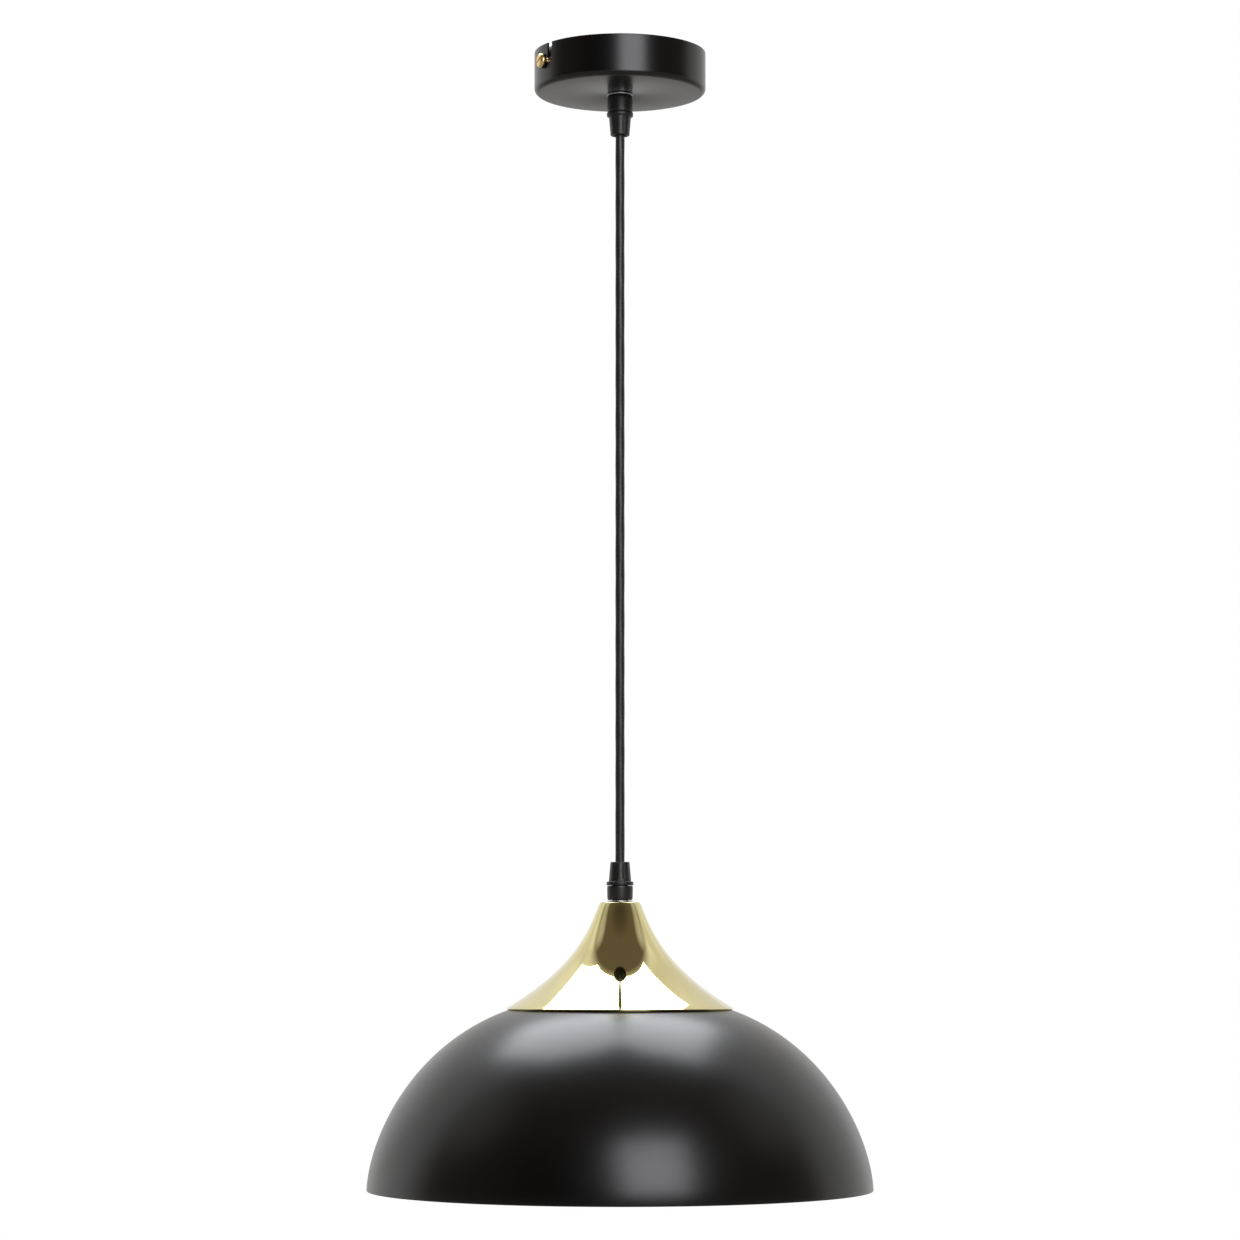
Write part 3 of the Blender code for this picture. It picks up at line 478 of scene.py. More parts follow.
def rubber():
    """Dull rubber with a coarse grain."""
    mat, tree, shader = new_finish("rubber", {"IOR": 1.52})
    vary(tree, shader, ((0.016, 0.016, 0.016), (0.026, 0.025, 0.024)), (0.70, 0.85), 200)
    emboss(tree, shader, ((noise(tree, 1800, 4.0), 0.35, 0.0001),))
    return mat


def cord_jacket():
    """Flexible PVC: satin, with faint extrusion lines along the cord."""
    mat, tree, shader = new_finish("black_pvc", {"IOR": 1.53})
    vary(tree, shader, ((0.0060, 0.0060, 0.0062), (0.0095, 0.0095, 0.0098)), (0.40, 0.46), 12)
    lines = (noise(tree, 700, 1.0, (1, 1, 0.02)), 0.03, 0.00004)
    grain = (noise(tree, 2400), 0.015, 0.00002)
    emboss(tree, shader, (lines, grain))
    return mat


def polished_brass():
    """Mirror brass under clear lacquer, with a slight waviness from spinning and the
    finest of polishing lines round it."""
    sockets = {"Metallic": 1.0, "Coat Weight": 0.25, "Coat Roughness": 0.03}
    mat, tree, shader = new_finish("polished_brass", sockets)
    vary(tree, shader, ((0.70, 0.625, 0.300), (0.74, 0.660, 0.330)), (0.035, 0.060), 14)
    waves = (noise(tree, 26, 1.0, (1, 1, 1.6)), 0.10, 0.0009)
    lines = (noise(tree, 1100, 2.0, (0.04, 0.04, 1)), 0.02, 0.00004)
    emboss(tree, shader, (waves, lines))
    return mat


def plain_brass():
    """Turned or rolled brass, slightly dull and uneven."""
    mat, tree, shader = new_finish("brass", {"Metallic": 1.0})
    vary(tree, shader, ((0.74, 0.53, 0.22), (0.83, 0.65, 0.32)), (0.18, 0.32), 160)
    emboss(tree, shader, ((noise(tree, 2400, 3.0), 0.10, 0.00004),))
    return mat


def zinc_steel():
    """Zinc plate: a mottled, slightly blue bright metal."""
    mat, tree, shader = new_finish("zinc_steel", {"Metallic": 1.0})
    place = object_place(tree)
    inputs = {"Vector": place, "Scale": 420.0}
    spangle = add(tree, "ShaderNodeTexVoronoi", inputs).outputs["Color"]
    level = add(tree, "ShaderNodeSeparateColor", {"Color": spangle}).outputs[0]
    colour = blend_colour(tree, level, (0.56, 0.57, 0.58), (0.66, 0.67, 0.70))
    tree.links.new(colour, shader.inputs["Base Color"])
    tree.links.new(spread(tree, noise(tree, 300), 0.28, 0.42), shader.inputs["Roughness"])
    brushed = (noise(tree, 900, 3.0, (0.05, 1, 1)), 0.12, 0.00005)
    emboss(tree, shader, (brushed,))
    return mat


def moulded(name, dark, light, roughness, scale=150):
    """A moulded or fired part between two close colours."""
    mat, tree, shader = new_finish(name, {"IOR": 1.5})
    vary(tree, shader, (dark, light), roughness, scale)
    emboss(tree, shader, ((noise(tree, 2200), 0.15, 0.00004),))
    return mat


def earth_core():
    """Green insulation with a yellow stripe along its upper and lower sides."""
    mat, tree, shader = new_finish("earth_green", {"IOR": 1.5})
    geometry = add(tree, "ShaderNodeNewGeometry").outputs["Normal"]
    inputs = {0: geometry, 1: (0.30, 0.25, 0.92)}
    facing = add(tree, "ShaderNodeVectorMath", inputs, operation="DOT_PRODUCT").outputs["Value"]
    size = add(tree, "ShaderNodeMath", {0: facing}, operation="ABSOLUTE").outputs[0]
    stripe = spread(tree, size, 0.0, 1.0, 0.66, 0.72)
    speckle = noise(tree, 500)
    green = blend_colour(tree, speckle, (0.045, 0.22, 0.035), (0.075, 0.30, 0.05))
    colour = blend_colour(tree, stripe, green, (0.72, 0.55, 0.04))
    tree.links.new(colour, shader.inputs["Base Color"])
    tree.links.new(spread(tree, speckle, 0.38, 0.50), shader.inputs["Roughness"])
    emboss(tree, shader, ((noise(tree, 2200), 0.15, 0.00004),))
    return mat


# ---- camera and cord --------------------------------------------------------------------


def front_camera():
    """Low in front of the lamp, looking slightly up."""
    data = bpy.data.cameras.new("camera")
    data.sensor_width = SENSOR_WIDTH
    data.lens = CAMERA_LENS
    data.clip_start = 0.01
    camera = bpy.data.objects.new("camera", data)
    bpy.context.scene.collection.objects.link(camera)
    camera.location = CAMERA_PLACE
    camera.rotation_euler = (math.pi / 2 + CAMERA_TILT, 0, 0)
    bpy.context.scene.camera = camera


def cord_piece(name, top, bottom, joint_end=None):
    """A stretch of the cord's jacket: three soft lobes that turn with the cores inside.
    The lobes fade out towards an end that turns against its neighbour."""
    bm = bmesh.new()
    rings = []
    for height in rows(top, bottom, CORD_RING_SPACING):
        lobe = CORD_LOBE
        if joint_end is not None:
            lobe *= min(1.0, abs(height - joint_end) / LOBE_FADE)
        ring = []
        for side in range(CORD_SIDES):
            angle = math.tau * side / CORD_SIDES
            wave = 0.5 - 0.5 * math.cos(3 * (angle - math.tau * height / CORE_LAY))
            reach = CORD_RADIUS - lobe * wave
            ring.append(bm.verts.new((reach * math.cos(angle), reach * math.sin(angle), height)))
        rings.append(ring)
    for upper, lower in zip(rings, rings[1:]):
        for side in range(CORD_SIDES):
            after = (side + 1) % CORD_SIDES
            bm.faces.new((upper[side], upper[after], lower[after], lower[side]))
    bm.faces.new(rings[0])
    bm.faces.new(rings[-1])
    bmesh.ops.recalc_face_normals(bm, faces=bm.faces)
    mesh = bpy.data.meshes.new(name)
    bm.to_mesh(mesh)
    bm.free()
    shade(mesh)
    return as_object(name, mesh)


def hanging_cord(finish):
    """The cord in three straight pieces, split where the real cord bends below the upper
    gland and where it turns and tilts just above the lower gland."""
    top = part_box("cord_upper_end")[1].z
    side_pivot = JOINTS["swing_side"]["pos_m"][2]
    front_pivot = JOINTS["swing_front"]["pos_m"][2]
    middle = (side_pivot + front_pivot) / 2
    spin = JOINTS["shade_spin"]["pos_m"][2]
    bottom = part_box("cord_lower_end")[0].z

    upper = cord_piece("cord_upper_piece", top, middle)
    hanging = cord_piece("cord_hanging_piece", middle, spin + CORD_CUT, spin)
    lower = cord_piece("cord_lower_piece", spin, bottom, spin)
    for piece in (upper, hanging, lower):
        piece.data.materials.append(finish)
    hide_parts("cord_upper_end", "cord_upper_bend")
    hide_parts("cord")
    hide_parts("cord_lower_bend", "cord_lower_end")
    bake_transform(upper)
    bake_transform(hanging)
    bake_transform(lower)


# ---- canopy, its screws and the bracket -------------------------------------------------


def screw_frames():
    """For each canopy screw, its name and the frame whose Z runs out along its axis."""
    for name in ("left", "right"):
        joint = JOINTS[f"canopy_screw_{name}_turn"]
        across = Vector(joint["axis"])
        angle = math.atan2(across.y, across.x)
        height = Matrix.Translation((0, 0, joint["pos_m"][2]))
        yield name, height @ Matrix.Rotation(angle, 4, "Z") @ Matrix.Rotation(math.pi / 2, 4, "Y")


def bayonet_outline(radius, screw_height, twist):
    """An open leg down from the rim and a short leg round to the locked place. X runs
    round the canopy and Y up from the screw's height."""
    reach = radius * math.sin(twist / 2)
    w = SCREW_HOLE
    top = -screw_height + 0.002
    locked_end = arc((-reach, 0), (w, w), 90, 270, 16)
    free_corner = arc((reach, 0), (w, w), -90, 0, 8)
    return [*locked_end, *free_corner, (reach + w, top), (reach - w, top), (reach - w, w)]


def canopy_shell(finish):
    """The pressed cup, with a bayonet slot for each screw in its wall."""
    radius, bottom, top = span("canopy")
    wall, fillet = CANOPY_WALL, CANOPY_FILLET
    corner = (radius - fillet, bottom + fillet)
    profile = [(radius - wall, top, 0.0002), (radius, top, 0.00025)]
    profile += [(radius, height) for height in rows(top - 0.002, corner[1] + 0.001, 0.004)]
    profile += arc(corner, (fillet, fillet), 0, -90, 10)
    profile += [(THREAD_BORE, bottom, 0.0002), (THREAD_BORE, bottom + wall, 0.0002)]
    profile += arc(corner, (fillet - wall, fillet - wall), -90, 0, 6)
    shell = turned("canopy_shell", eased(profile), FINE)
    joint = JOINTS["canopy_twist"]
    twist = math.radians(max(abs(limit) for limit in joint["range_deg"]))
    across = Vector(JOINTS["canopy_screw_right_turn"]["axis"])
    height = JOINTS["canopy_screw_right_turn"]["pos_m"][2]
    cutters = []
    for side in (0, math.pi):
        middle = math.atan2(across.y, across.x) + twist / 2 + side
        placing = Matrix.Rotation(middle, 4, "Z") @ Matrix.Translation((0, 0, height))
        tangent = Matrix(((0, 0, 1, 0), (1, 0, 0, 0), (0, 1, 0, 0), (0, 0, 0, 1)))
        outline = bayonet_outline(radius, height, twist)
        cutters.append(prism("bayonet_slot", outline, *SLOT_CUT, placing @ tangent))
    cut(shell, cutters)
    place_piece(shell, finish, "canopy")


def canopy_screws(brass, black):
    """Slotted pan-head screws with their washers. Each lies along its frame's Z."""
    radius = span("canopy")[0]
    washer_low = radius + GAP
    washer_high = washer_low + WASHER_HEIGHT
    head_low = washer_high + GAP
    head_high = head_low + SCREW_HEAD_HEIGHT
    for name, placing in screw_frames():
        washer = eased(
            [
                (SCREW_HEAD_RADIUS, washer_high, 0.0001),
                (SCREW_HEAD_RADIUS, washer_low, 0.0001),
                (SCREW_HOLE, washer_low, 0.0001),
                (SCREW_HOLE, washer_high, 0.0001),
            ]
        )
        washer = turned(f"screw_washer_{name}", washer, SMALL, place=placing)
        place_piece(washer, black, f"canopy_washer_{name}")

        crown_base = (SCREW_CROWN_RADIUS, head_high - SCREW_CROWN)
        crown = arc(crown_base, (SCREW_CROWN_RADIUS, SCREW_CROWN), 90, 0, 10)
        profile = [(0, head_high), *crown, (SCREW_HEAD_RADIUS, head_low, 0.0002), (0, head_low)]
        head = turned(f"screw_head_{name}", eased(profile, closed=False), SMALL, closed=False)
        half, reach = DRIVER_SLOT_WIDTH / 2, 0.006
        outline = [(-half, -reach), (half, -reach), (half, reach), (-half, reach)]
        turn = Matrix.Rotation(DRIVER_SLOT_TURN, 4, "Z")
        slot_low = head_high - DRIVER_SLOT_DEPTH
        cut(head, [prism("driver_slot", outline, slot_low, head_high + 0.002, turn)])
        ease_edges(head, 0.00008)
        head.data.transform(placing)
        place_piece(head, brass, f"canopy_screw_{name}")

        thread = [(0, head_low + 0.0001)]
        thread += [(SCREW_RADIUS, z) for z in rows(head_low + 0.0001, SCREW_END, SCREW_PITCH / 8)]
        thread += [(SCREW_RADIUS - 0.0005, SCREW_END - 0.0003), (0, SCREW_END - 0.0003)]
        wave = helix(SCREW_PITCH, SCREW_THREAD_DEPTH, SCREW_END, head_low)
        shank = turned(
            f"screw_shank_{name}", thread, SCREW_SEGMENTS, closed=False, shape=wave, place=placing
        )
        shank.data.materials.append(brass)
        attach(shank, f"canopy_screw_{name}")


# ---- glands -----------------------------------------------------------------------------


def fluted(flutes, depth, low, high):
    """A shape for turned: shallow flutes round the outside between two heights."""

    def shape(radius, height, angle):
        fade = min(1.0, max(0.0, min(height - low, high - height) / 0.0012))
        dip = 0.5 - 0.5 * math.cos(flutes * angle)
        return radius - depth * fade * dip**2 if radius > GLAND_WAIST else radius

    return shape


def gland_body(name, length, placing, tail, finish):
    """The body stands on its seat; its threaded spigot points at the cord. A tail above
    zero is a threaded stem below the seat, and one below zero a socket up into it."""
    top = length + GLAND_SPIGOT
    spigot, passage = GLAND_SPIGOT_RADIUS, GLAND_PASSAGE
    profile = [(passage, top, 0.0002), (spigot, top, 0.0003)]
    profile += [(spigot, z) for z in rows(top - 0.0007, length + 0.0004, THREAD_PITCH / 8)]
    profile += [(spigot, length), (0.0075, length, 0.0002), (0.0077, length - 0.0010, 0.0004)]
    profile += [(0.0076, 0.0014, 0.0008), (0.0073, 0, 0.0003)]
    if tail > 0:
        profile += [(THREAD_RADIUS, 0)]
        profile += [(THREAD_RADIUS, z) for z in rows(-0.0004, -tail + 0.0002, THREAD_PITCH / 8)]
        profile += [(THREAD_RADIUS - 0.0003, -tail), (passage, -tail, 0.0002)]
    else:
        profile += [(THREAD_BORE, 0, 0.0003), (THREAD_BORE, -tail), (passage, -tail)]
    spigot_thread = helix(THREAD_PITCH, THREAD_DEPTH, length + 0.0002, top - 0.0002)
    tail_thread = helix(THREAD_PITCH, THREAD_DEPTH, -abs(tail), -0.0002)

    def shape(radius, height, angle):
        if radius > GLAND_WAIST or radius < GLAND_SPIGOT_RADIUS - 0.0003:
            return radius
        cut_thread = spigot_thread if height > length else tail_thread
        return cut_thread(radius, height, angle)

    body = turned(f"{name}_gland_sleeve", eased(profile), SMALL, shape=shape, place=placing)
    place_piece(body, finish, f"{name}_gland_body")


def gland_nut(name, placing, finish):
    """The clamping nut: a rounded collar, then a fluted tapering nose with a bell mouth."""
    _, low, high = span(f"{name}_gland_nut")
    top = high - low
    profile = [(0.0044, top, 0.0003), (0.0057, top, 0.0005)]
    for z in rows(top - 0.001, 0.003, 0.0004):
        profile.append((NOSE_RADIUS - NOSE_TAPER * (z - NUT_COLLAR) / (top - NUT_COLLAR), z))
    profile += [(NOSE_RADIUS, NUT_COLLAR, 0.0003), (NUT_COLLAR_RADIUS, NUT_COLLAR, 0.0006)]
    profile += [(NUT_COLLAR_RADIUS, 0, 0.0003), (GLAND_WAIST, 0, 0.0002), (GLAND_WAIST, 0.0083)]
    profile += [(0.0036, 0.0117), (0.0036, top - 0.0013)]
    flutes = fluted(NOSE_FLUTES, NOSE_FLUTE_DEPTH, 0.0028, top - 0.0004)
    nut = turned(f"{name}_gland_cap", eased(profile), RIBBED, shape=flutes, place=placing)
    place_piece(nut, finish, f"{name}_gland_nut")


def gland_ring(name, finish):
    radius, low, high = span(f"{name}_gland_ring")
    profile = [(radius, high, 0.0002), (radius, low, 0.0002)]
    profile += [(THREAD_BORE, low, 0.0001), (THREAD_BORE, high, 0.0001)]
    ring = turned(f"{name}_gland_seat_ring", eased(profile), SMALL)
    place_piece(ring, finish, f"{name}_gland_ring")


def glands(black, grip_rubber, steel):
    """The two glands: the upper one points down at the cord, the lower one up."""
    for name, down in (("upper", True), ("lower", False)):
        _, ring_low, ring_high = span(f"{name}_gland_ring")
        _, nut_low, nut_high = span(f"{name}_gland_nut")
        seat = ring_low - GAP if down else ring_high + GAP
        start = nut_high if down else nut_low
        length = abs(start - seat) - GAP
        flip = Matrix.Rotation(math.pi, 4, "X") if down else Matrix.Identity(4)
        tail = UPPER_TAIL if down else -LOWER_SOCKET
        gland_body(name, length, Matrix.Translation((0, 0, seat)) @ flip, tail, black)
        gland_nut(name, Matrix.Translation((0, 0, start)) @ flip, black)
        gland_ring(name, steel)
        grip = softened(f"{name}_gland_grip", 0.0002)
        place_piece(grip, grip_rubber, f"{name}_gland_grip")


# ---- the brass cap and the dome ---------------------------------------------------------


def dome_height(radius, dome_radius):
    """The dome's height above its rim: a superellipse."""
    side = (radius / dome_radius) ** DOME_SIDE_POWER
    return DOME_RISE * (1 - side) ** (1 / DOME_TOP_POWER)


def cap_flare(top, base, base_radius, steps):
    """The cap's outer flare: one cubic curve from its flat top to its base."""
    p0 = Vector((CAP_TOP_RADIUS, top))
    p1 = p0 + Vector(CAP_TOP_PULL)
    p3 = Vector((base_radius, base))
    p2 = p3 + Vector(CAP_BASE_PULL)
    points = []
    for step in range(steps + 1):
        t = step / steps
        s = 1 - t
        point = s**3 * p0 + 3 * s**2 * t * p1 + 3 * s * t**2 * p2 + t**3 * p3
        points.append((point.x, point.y))
    return points


def brass_cap(finish):
    """A spun flare, one wall thick, that rests on the dome."""
    base_radius, base, top = span("brass_cap")
    dome_radius, rim, _ = span("dome_shade")
    flare = cap_flare(top, base + CAP_SEAM, base_radius, 64)
    inner = []
    for radius, height in inward(flare, CAP_WALL)[1:]:
        if height > rim + dome_height(radius, dome_radius) + GAP:
            inner.append((radius, height))
    lip = base_radius - CAP_LIP
    lip_height = rim + dome_height(lip, dome_radius) + GAP
    under_top = top - CAP_WALL
    top_edge = (flare[0][0], flare[0][1], 0.0006)
    base_edge = (flare[-1][0], flare[-1][1], 0.0003)
    profile = [(THREAD_BORE, top, 0.0002), top_edge, *flare[2:-2], base_edge]
    profile += [(base_radius - 0.0006, base, 0.0002), (lip, lip_height), *reversed(inner[1:])]
    profile += [(CAP_TOP_RADIUS - 0.0006, under_top), (THREAD_BORE, under_top)]
    cap = turned("flared_cap", eased(profile), FINEST)
    place_piece(cap, finish, "brass_cap")


def dome(finish):
    """A spun shade, one wall thick, with a flat crown round the lamp holder's hole."""
    dome_radius, rim, crown_top = span("dome_shade")
    curve = []
    steps = 96
    for step in range(1, steps):
        angle = math.pi / 2 * step / steps
        radius = dome_radius * math.sin(angle) ** (2 / DOME_SIDE_POWER)
        if radius > CROWN_FLAT_RADIUS + 0.003:
            curve.append((radius, rim + dome_height(radius, dome_radius)))
    curve.append((dome_radius, rim))
    outer = [(CROWN_FLAT_RADIUS, crown_top), *curve]
    inner = inward(outer, DOME_WALL)
    inner[0] = (CROWN_FLAT_RADIUS - 0.0004, crown_top - DOME_WALL)
    inner[-1] = (dome_radius - DOME_WALL, rim)
    hole = CROWN_HOLE_RADIUS
    profile = [(hole, crown_top, 0.0002), *outer[:-1], (*outer[-1], 0.0004), (*inner[-1], 0.0004)]
    profile += [*reversed(inner[:-1]), (hole, crown_top - DOME_WALL, 0.0002)]
    shell = turned("dome_shell", eased(profile), FINEST)
    place_piece(shell, finish, "dome_shade")


# ---- the lamp holder --------------------------------------------------------------------


def holder_cap(finish):
    """The holder's domed cap, which screws onto the nipple."""
    radius, low, high = span("holder_cap")
    wall = HOLDER_WALL
    width = radius - HOLDER_BOSS_RADIUS
    centre = (HOLDER_BOSS_RADIUS, HOLDER_SHOULDER)
    inner_size = (width - wall, HOLDER_RISE - wall)
    profile = [(THREAD_BORE, high, 0.0003), (HOLDER_BOSS_RADIUS, high, 0.0004)]
    profile += arc(centre, (width, HOLDER_RISE), 88, 0, 24)
    profile += [(radius, low, 0.0003), (radius - wall, low, 0.0003)]
    profile += arc(centre, inner_size, 0, 90, 16)
    profile += [(THREAD_BORE, HOLDER_SHOULDER + inner_size[1])]
    piece = turned("holder_dome_cap", eased(profile))
    place_piece(piece, finish, "holder_cap")


def holder_body(finish):
    """The threaded skirt with the flange that the dome is clamped against."""
    flange_radius, low, high = span("holder_body")
    crown_top = span("dome_shade")[2]
    sleeve = span("holder_cap")[0]
    flange_low = crown_top + GAP
    flange_high = flange_low + FLANGE_HEIGHT
    thread_high = flange_low - 0.0002
    profile = [(SKIRT_BORE, high, 0.0003), (sleeve, high, 0.0003), (sleeve, flange_high, 0.0004)]
    profile += [(flange_radius, flange_high, 0.0005), (flange_radius, flange_low, 0.0003)]
    profile += [(SKIRT_RADIUS, z) for z in rows(flange_low, low + 0.0006, RING_PITCH / 10)]
    profile += [(SKIRT_RADIUS - 0.0005, low, 0.0003), (SKIRT_BORE, low, 0.0004)]
    thread = helix(RING_PITCH, SKIRT_THREAD_DEPTH, low + 0.0006, thread_high)

    def shape(radius, height, angle):
        return thread(radius, height, angle) if abs(radius - SKIRT_RADIUS) < 1e-6 else radius

    piece = turned("holder_skirt", eased(profile), RIBBED, shape=shape)
    place_piece(piece, finish, "holder_body")


def shade_ring(finish):
    """The ring that clamps the dome, with finger ribs round its flange."""
    radius, low, high = span("shade_ring")
    bore, body = RING_BORE, RING_BODY_RADIUS
    flange_low = high - RING_FLANGE
    profile = [(bore, high, 0.0002), (radius, high, 0.0005), (radius, flange_low, 0.0005)]
    profile += [(body, flange_low, 0.0003)]
    profile += [(body, z) for z in rows(flange_low - 0.0008, low + 0.0008, 0.0006)]
    profile += [(body, low, 0.0004), (bore, low, 0.0003)]
    profile += [(bore, z) for z in rows(low + 0.0006, high - 0.0006, RING_PITCH / 8)]

    def shape(r, height, angle):
        if abs(r - bore) < 1e-6:
            phase = (height / RING_PITCH - angle / math.tau) % 1.0
            return r + RING_THREAD_DEPTH * (0.5 + 0.5 * math.cos(math.tau * phase))
        if r < body - 0.0005:
            return r
        dip = max(0.0, math.cos(RING_RIBS * angle)) ** 2
        return r - (0.0005 if r > body + 0.0005 else 0.0003) * dip

    piece = turned("shade_clamp_ring", eased(profile), RING_RIBS * 12, shape=shape)
    place_piece(piece, finish, "shade_ring")


def screw_shell(finish):
    """The E27 shell: thin sheet rolled into a round thread."""
    radius, low, high = span("screw_shell")
    inner = radius - SHELL_WALL
    profile = [(CONTACT_HOLE, high - SHELL_WALL), (CONTACT_HOLE, high), (radius - 0.0008, high)]
    heights = rows(high - 0.0006, low, SHELL_PITCH / 14)
    profile += [(radius, z) for z in heights]
    profile += [(inner, z) for z in reversed(heights)]
    profile += [(inner - 0.0008, high - SHELL_WALL)]
    thread = helix(SHELL_PITCH, SHELL_DEPTH, low + 0.0008, high - 0.0008)

    def shape(r, height, angle):
        return thread(r, height, angle) if r > inner - 0.0002 else r

    piece = turned("lamp_screw_shell", eased(profile), MEDIUM, shape=shape)
    place_piece(piece, finish, "screw_shell")


def holder_insert(finish):
    """The ceramic disc that carries the terminals, with a well for the centre contact."""
    radius, low, high = span("holder_insert")
    profile = [(0, high), (radius, high, 0.0005), (radius, low, 0.0005)]
    profile += [(WELL_RADIUS, low, 0.0004), (WELL_RADIUS, low + WELL_DEPTH, 0.0004)]
    profile += [(0, low + WELL_DEPTH)]
    piece = turned("ceramic_insert", eased(profile, closed=False), MEDIUM, closed=False)
    place_piece(piece, finish, "holder_insert")


def centre_contact(finish):
    """The sprung button on its stem."""
    radius, low, high = span("centre_contact")
    stem, shoulder = CONTACT_STEM, low + CONTACT_BUTTON
    profile = [(0, high), (stem, high, 0.0002), (stem, shoulder, 0.0002)]
    profile += [(radius, shoulder, 0.0003), (radius, low, 0.0005), (0, low)]
    piece = turned("contact_button", eased(profile, closed=False), SMALL, closed=False)
    place_piece(piece, finish, "centre_contact")


def nipple(finish):
    """The hollow threaded tube that holds cap, dome and lamp holder together."""
    radius, low, high = span("threaded_nipple")
    profile = [(NIPPLE_BORE, high, 0.0002), (radius - 0.0003, high, 0.0002)]
    profile += [(radius, z) for z in rows(high - 0.0003, low + 0.0003, THREAD_PITCH / 8)]
    profile += [(radius - 0.0003, low, 0.0002), (NIPPLE_BORE, low, 0.0002)]
    thread = helix(THREAD_PITCH, THREAD_DEPTH, low, high)

    def shape(r, height, angle):
        return thread(r, height, angle) if abs(r - radius) < 1e-6 else r

    piece = turned("nipple_thread", eased(profile), SMALL, shape=shape)
    place_piece(piece, finish, "threaded_nipple")


# ---- everything that keeps the frame's own shape, with eased edges -----------------------


def fittings(finishes):
    """Each row is a finish, the width of the eased edges, and the nodes."""
    steel = ["mounting_bracket", "upper_lock_washer", "upper_lock_nut", "cap_nut"]
    steel += ["holder_lock_nut", "holder_inner_nut"]
    edged = (
        ("zinc_steel", 0.00025, steel),
        ("zinc_steel", 0.00012, ["earth_tag_top", "earth_tag_bottom"]),
        ("white_nylon", 0.00035, ["terminal_block"]),
        ("brass", 0.00012, ["terminal_screw_1", "terminal_screw_2", "terminal_screw_3"]),
        ("brass", 0.00015, ["earth_screw", "holder_terminal_live", "holder_terminal_neutral"]),
    )
    for slot, width, nodes in edged:
        for node in nodes:
            place_piece(softened(node, width), finishes[slot], node)
    wires = (
        ("live_brown", ["wire_live_top", "wire_live_bottom"]),
        ("neutral_blue", ["wire_neutral_top", "wire_neutral_bottom"]),
        ("earth_green", ["wire_earth_top", "wire_earth_link", "wire_earth_bottom"]),
    )
    for slot, nodes in wires:
        for node in nodes:
            place_piece(softened(node, 0, rounding=2), finishes[slot], node)


# ---- studio -----------------------------------------------------------------------------


def panel(name, outline, placing, radiance, tint):
    """A soft light: a glowing panel that the camera doesn't see."""
    mesh = bpy.data.meshes.new(name)
    mesh.from_pydata([(x, y, 0) for x, y in outline], [], [tuple(range(len(outline)))])
    obj = as_object(name, mesh)
    obj.matrix_world = placing
    mat = bpy.data.materials.new(name)
    mat.use_nodes = True
    mat.node_tree.nodes.clear()
    glow = add(mat.node_tree, "ShaderNodeEmission", {"Color": (*tint, 1), "Strength": radiance})
    out = add(mat.node_tree, "ShaderNodeOutputMaterial")
    mat.node_tree.links.new(glow.outputs[0], out.inputs["Surface"])
    mesh.materials.append(mat)
    obj.visible_camera = False
    obj.visible_shadow = False


def studio_world():
    """A white studio behind and beside the lamp, and a dim room on the camera's side,
    darkest straight in front. The camera itself sees plain white."""
    world = bpy.data.worlds.new("studio")
    bpy.context.scene.world = world
    world.use_nodes = True
    tree = world.node_tree
    background = tree.nodes["Background"]
    direction = add(tree, "ShaderNodeTexCoord").outputs["Generated"]
    axes = add(tree, "ShaderNodeSeparateXYZ", {0: direction})
    across = add(tree, "ShaderNodeMath", {0: axes.outputs["X"]}, operation="ABSOLUTE").outputs[0]
    rise = {0: axes.outputs["Z"], 1: 0.82, 2: across}
    aside = add(tree, "ShaderNodeMath", rise, operation="MULTIPLY_ADD").outputs[0]
    white = spread(tree, aside, 0.0, 1.0, 1.23, 1.33)
    lean = {0: axes.outputs["Z"], 1: 0.115, 2: axes.outputs["Y"]}
    depth = add(tree, "ShaderNodeMath", lean, operation="MULTIPLY_ADD").outputs[0]
    behind = spread(tree, depth, 0.0, 1.0, 0.15, 0.32)
    bright = add(tree, "ShaderNodeMath", {0: white, 1: behind}, operation="MAXIMUM").outputs[0]
    near = spread(tree, axes.outputs["Y"], 0.0, 1.0, -0.80, -0.45)
    dim = blend_colour(tree, near, *DIM_ROOM)
    patches = add(tree, "ShaderNodeTexNoise", {"Vector": direction, "Scale": 3.2, "Detail": 1.0})
    patchy = spread(tree, patches.outputs[0], 0.0, 1.0, 0.35, 0.65)
    pale = blend_colour(tree, patchy, *PALE_ROOM)
    room = blend_colour(tree, bright, dim, pale)
    seen = add(tree, "ShaderNodeLightPath").outputs["Is Camera Ray"]
    tree.links.new(blend_colour(tree, seen, room, WHITE), background.inputs["Color"])


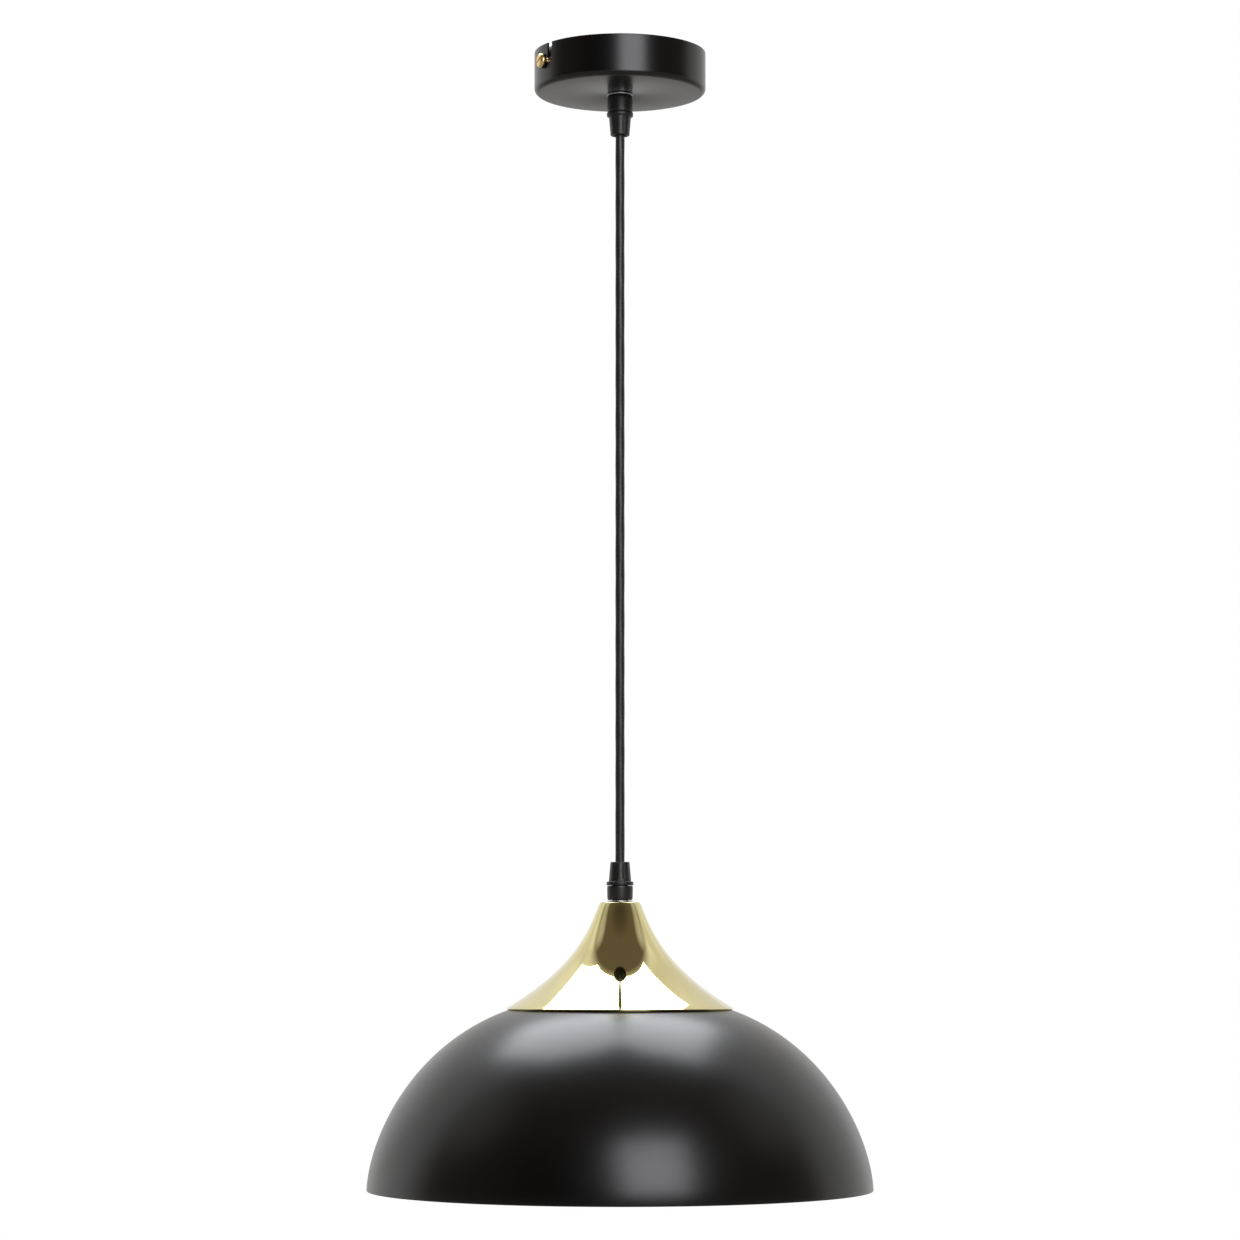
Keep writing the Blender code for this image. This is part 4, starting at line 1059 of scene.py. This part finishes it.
def pale_floor():
    """A pale floor well below the lamp, which fades to white far from it."""
    mesh = bpy.data.meshes.new("floor")
    bm = bmesh.new()
    bmesh.ops.create_circle(bm, cap_ends=True, radius=FLOOR_RADIUS, segments=MEDIUM)
    bmesh.ops.translate(bm, verts=bm.verts, vec=(0, 0, FLOOR_HEIGHT))
    bm.to_mesh(mesh)
    bm.free()
    floor = as_object("floor", mesh)
    sockets = {"Roughness": 0.9, "Base Color": (*FLOOR_COLOUR, 1)}
    mat, tree, shader = new_finish("pale_floor", sockets)
    place = add(tree, "ShaderNodeTexCoord").outputs["Object"]
    inputs = {0: place, 1: (1, 1, 0)}
    flat = add(tree, "ShaderNodeVectorMath", inputs, operation="MULTIPLY").outputs[0]
    reach = add(tree, "ShaderNodeVectorMath", {0: flat}, operation="LENGTH").outputs["Value"]
    far = spread(tree, reach, 0.0, 1.0, *FLOOR_FADE)
    glow = add(tree, "ShaderNodeEmission", {"Color": (1, 1, 1, 1), "Strength": 1.0}).outputs[0]
    mixed = add(tree, "ShaderNodeMixShader", {0: far, 1: shader.outputs[0], 2: glow}).outputs[0]
    out = next(item for item in tree.nodes if item.type == "OUTPUT_MATERIAL")
    tree.links.new(mixed, out.inputs["Surface"])
    floor.data.materials.append(mat)


def studio():
    """Two soft lights, one above and behind the lamp and one in front to its right."""
    studio_world()
    pale_floor()
    above = Matrix.Translation((0, 0, OVERHEAD_HEIGHT))
    panel("overhead_softbox", OVERHEAD_OUTLINE, above, OVERHEAD_RADIANCE, OVERHEAD_TINT)
    facing = (FRONT_AIM - FRONT_PLACE).to_track_quat("Z", "Y").to_matrix().to_4x4()
    in_front = Matrix.Translation(FRONT_PLACE) @ facing
    panel("front_softbox", FRONT_OUTLINE, in_front, FRONT_RADIANCE, FRONT_TINT)
    bpy.context.scene.view_settings.view_transform = "Standard"


# ---- assembly ---------------------------------------------------------------------------


def main():
    front_camera()
    finishes = {
        "black_paint": black_paint(),
        "black_plastic": black_plastic(),
        "rubber": rubber(),
        "black_pvc": cord_jacket(),
        "polished_brass": polished_brass(),
        "brass": plain_brass(),
        "zinc_steel": zinc_steel(),
        "white_nylon": moulded("white_nylon", (0.78, 0.78, 0.75), (0.85, 0.85, 0.83), (0.4, 0.55)),
        "ceramic": moulded("ceramic", (0.78, 0.77, 0.73), (0.86, 0.85, 0.82), (0.28, 0.45), 400),
        "live_brown": moulded("live_brown", (0.12, 0.045, 0.02), (0.17, 0.065, 0.028), (0.38, 0.5)),
        "neutral_blue": moulded("neutral_blue", (0.02, 0.08, 0.36), (0.03, 0.11, 0.44), (0.38, 0.5)),
        "earth_green": earth_core(),
    }
    hanging_cord(finishes["black_pvc"])
    canopy_shell(finishes["black_paint"])
    canopy_screws(finishes["brass"], finishes["black_plastic"])
    glands(finishes["black_plastic"], finishes["rubber"], finishes["zinc_steel"])
    brass_cap(finishes["polished_brass"])
    dome(finishes["black_paint"])
    nipple(finishes["zinc_steel"])
    holder_cap(finishes["black_plastic"])
    holder_body(finishes["black_plastic"])
    holder_insert(finishes["ceramic"])
    screw_shell(finishes["brass"])
    centre_contact(finishes["brass"])
    shade_ring(finishes["black_plastic"])
    fittings(finishes)
    studio()


main()
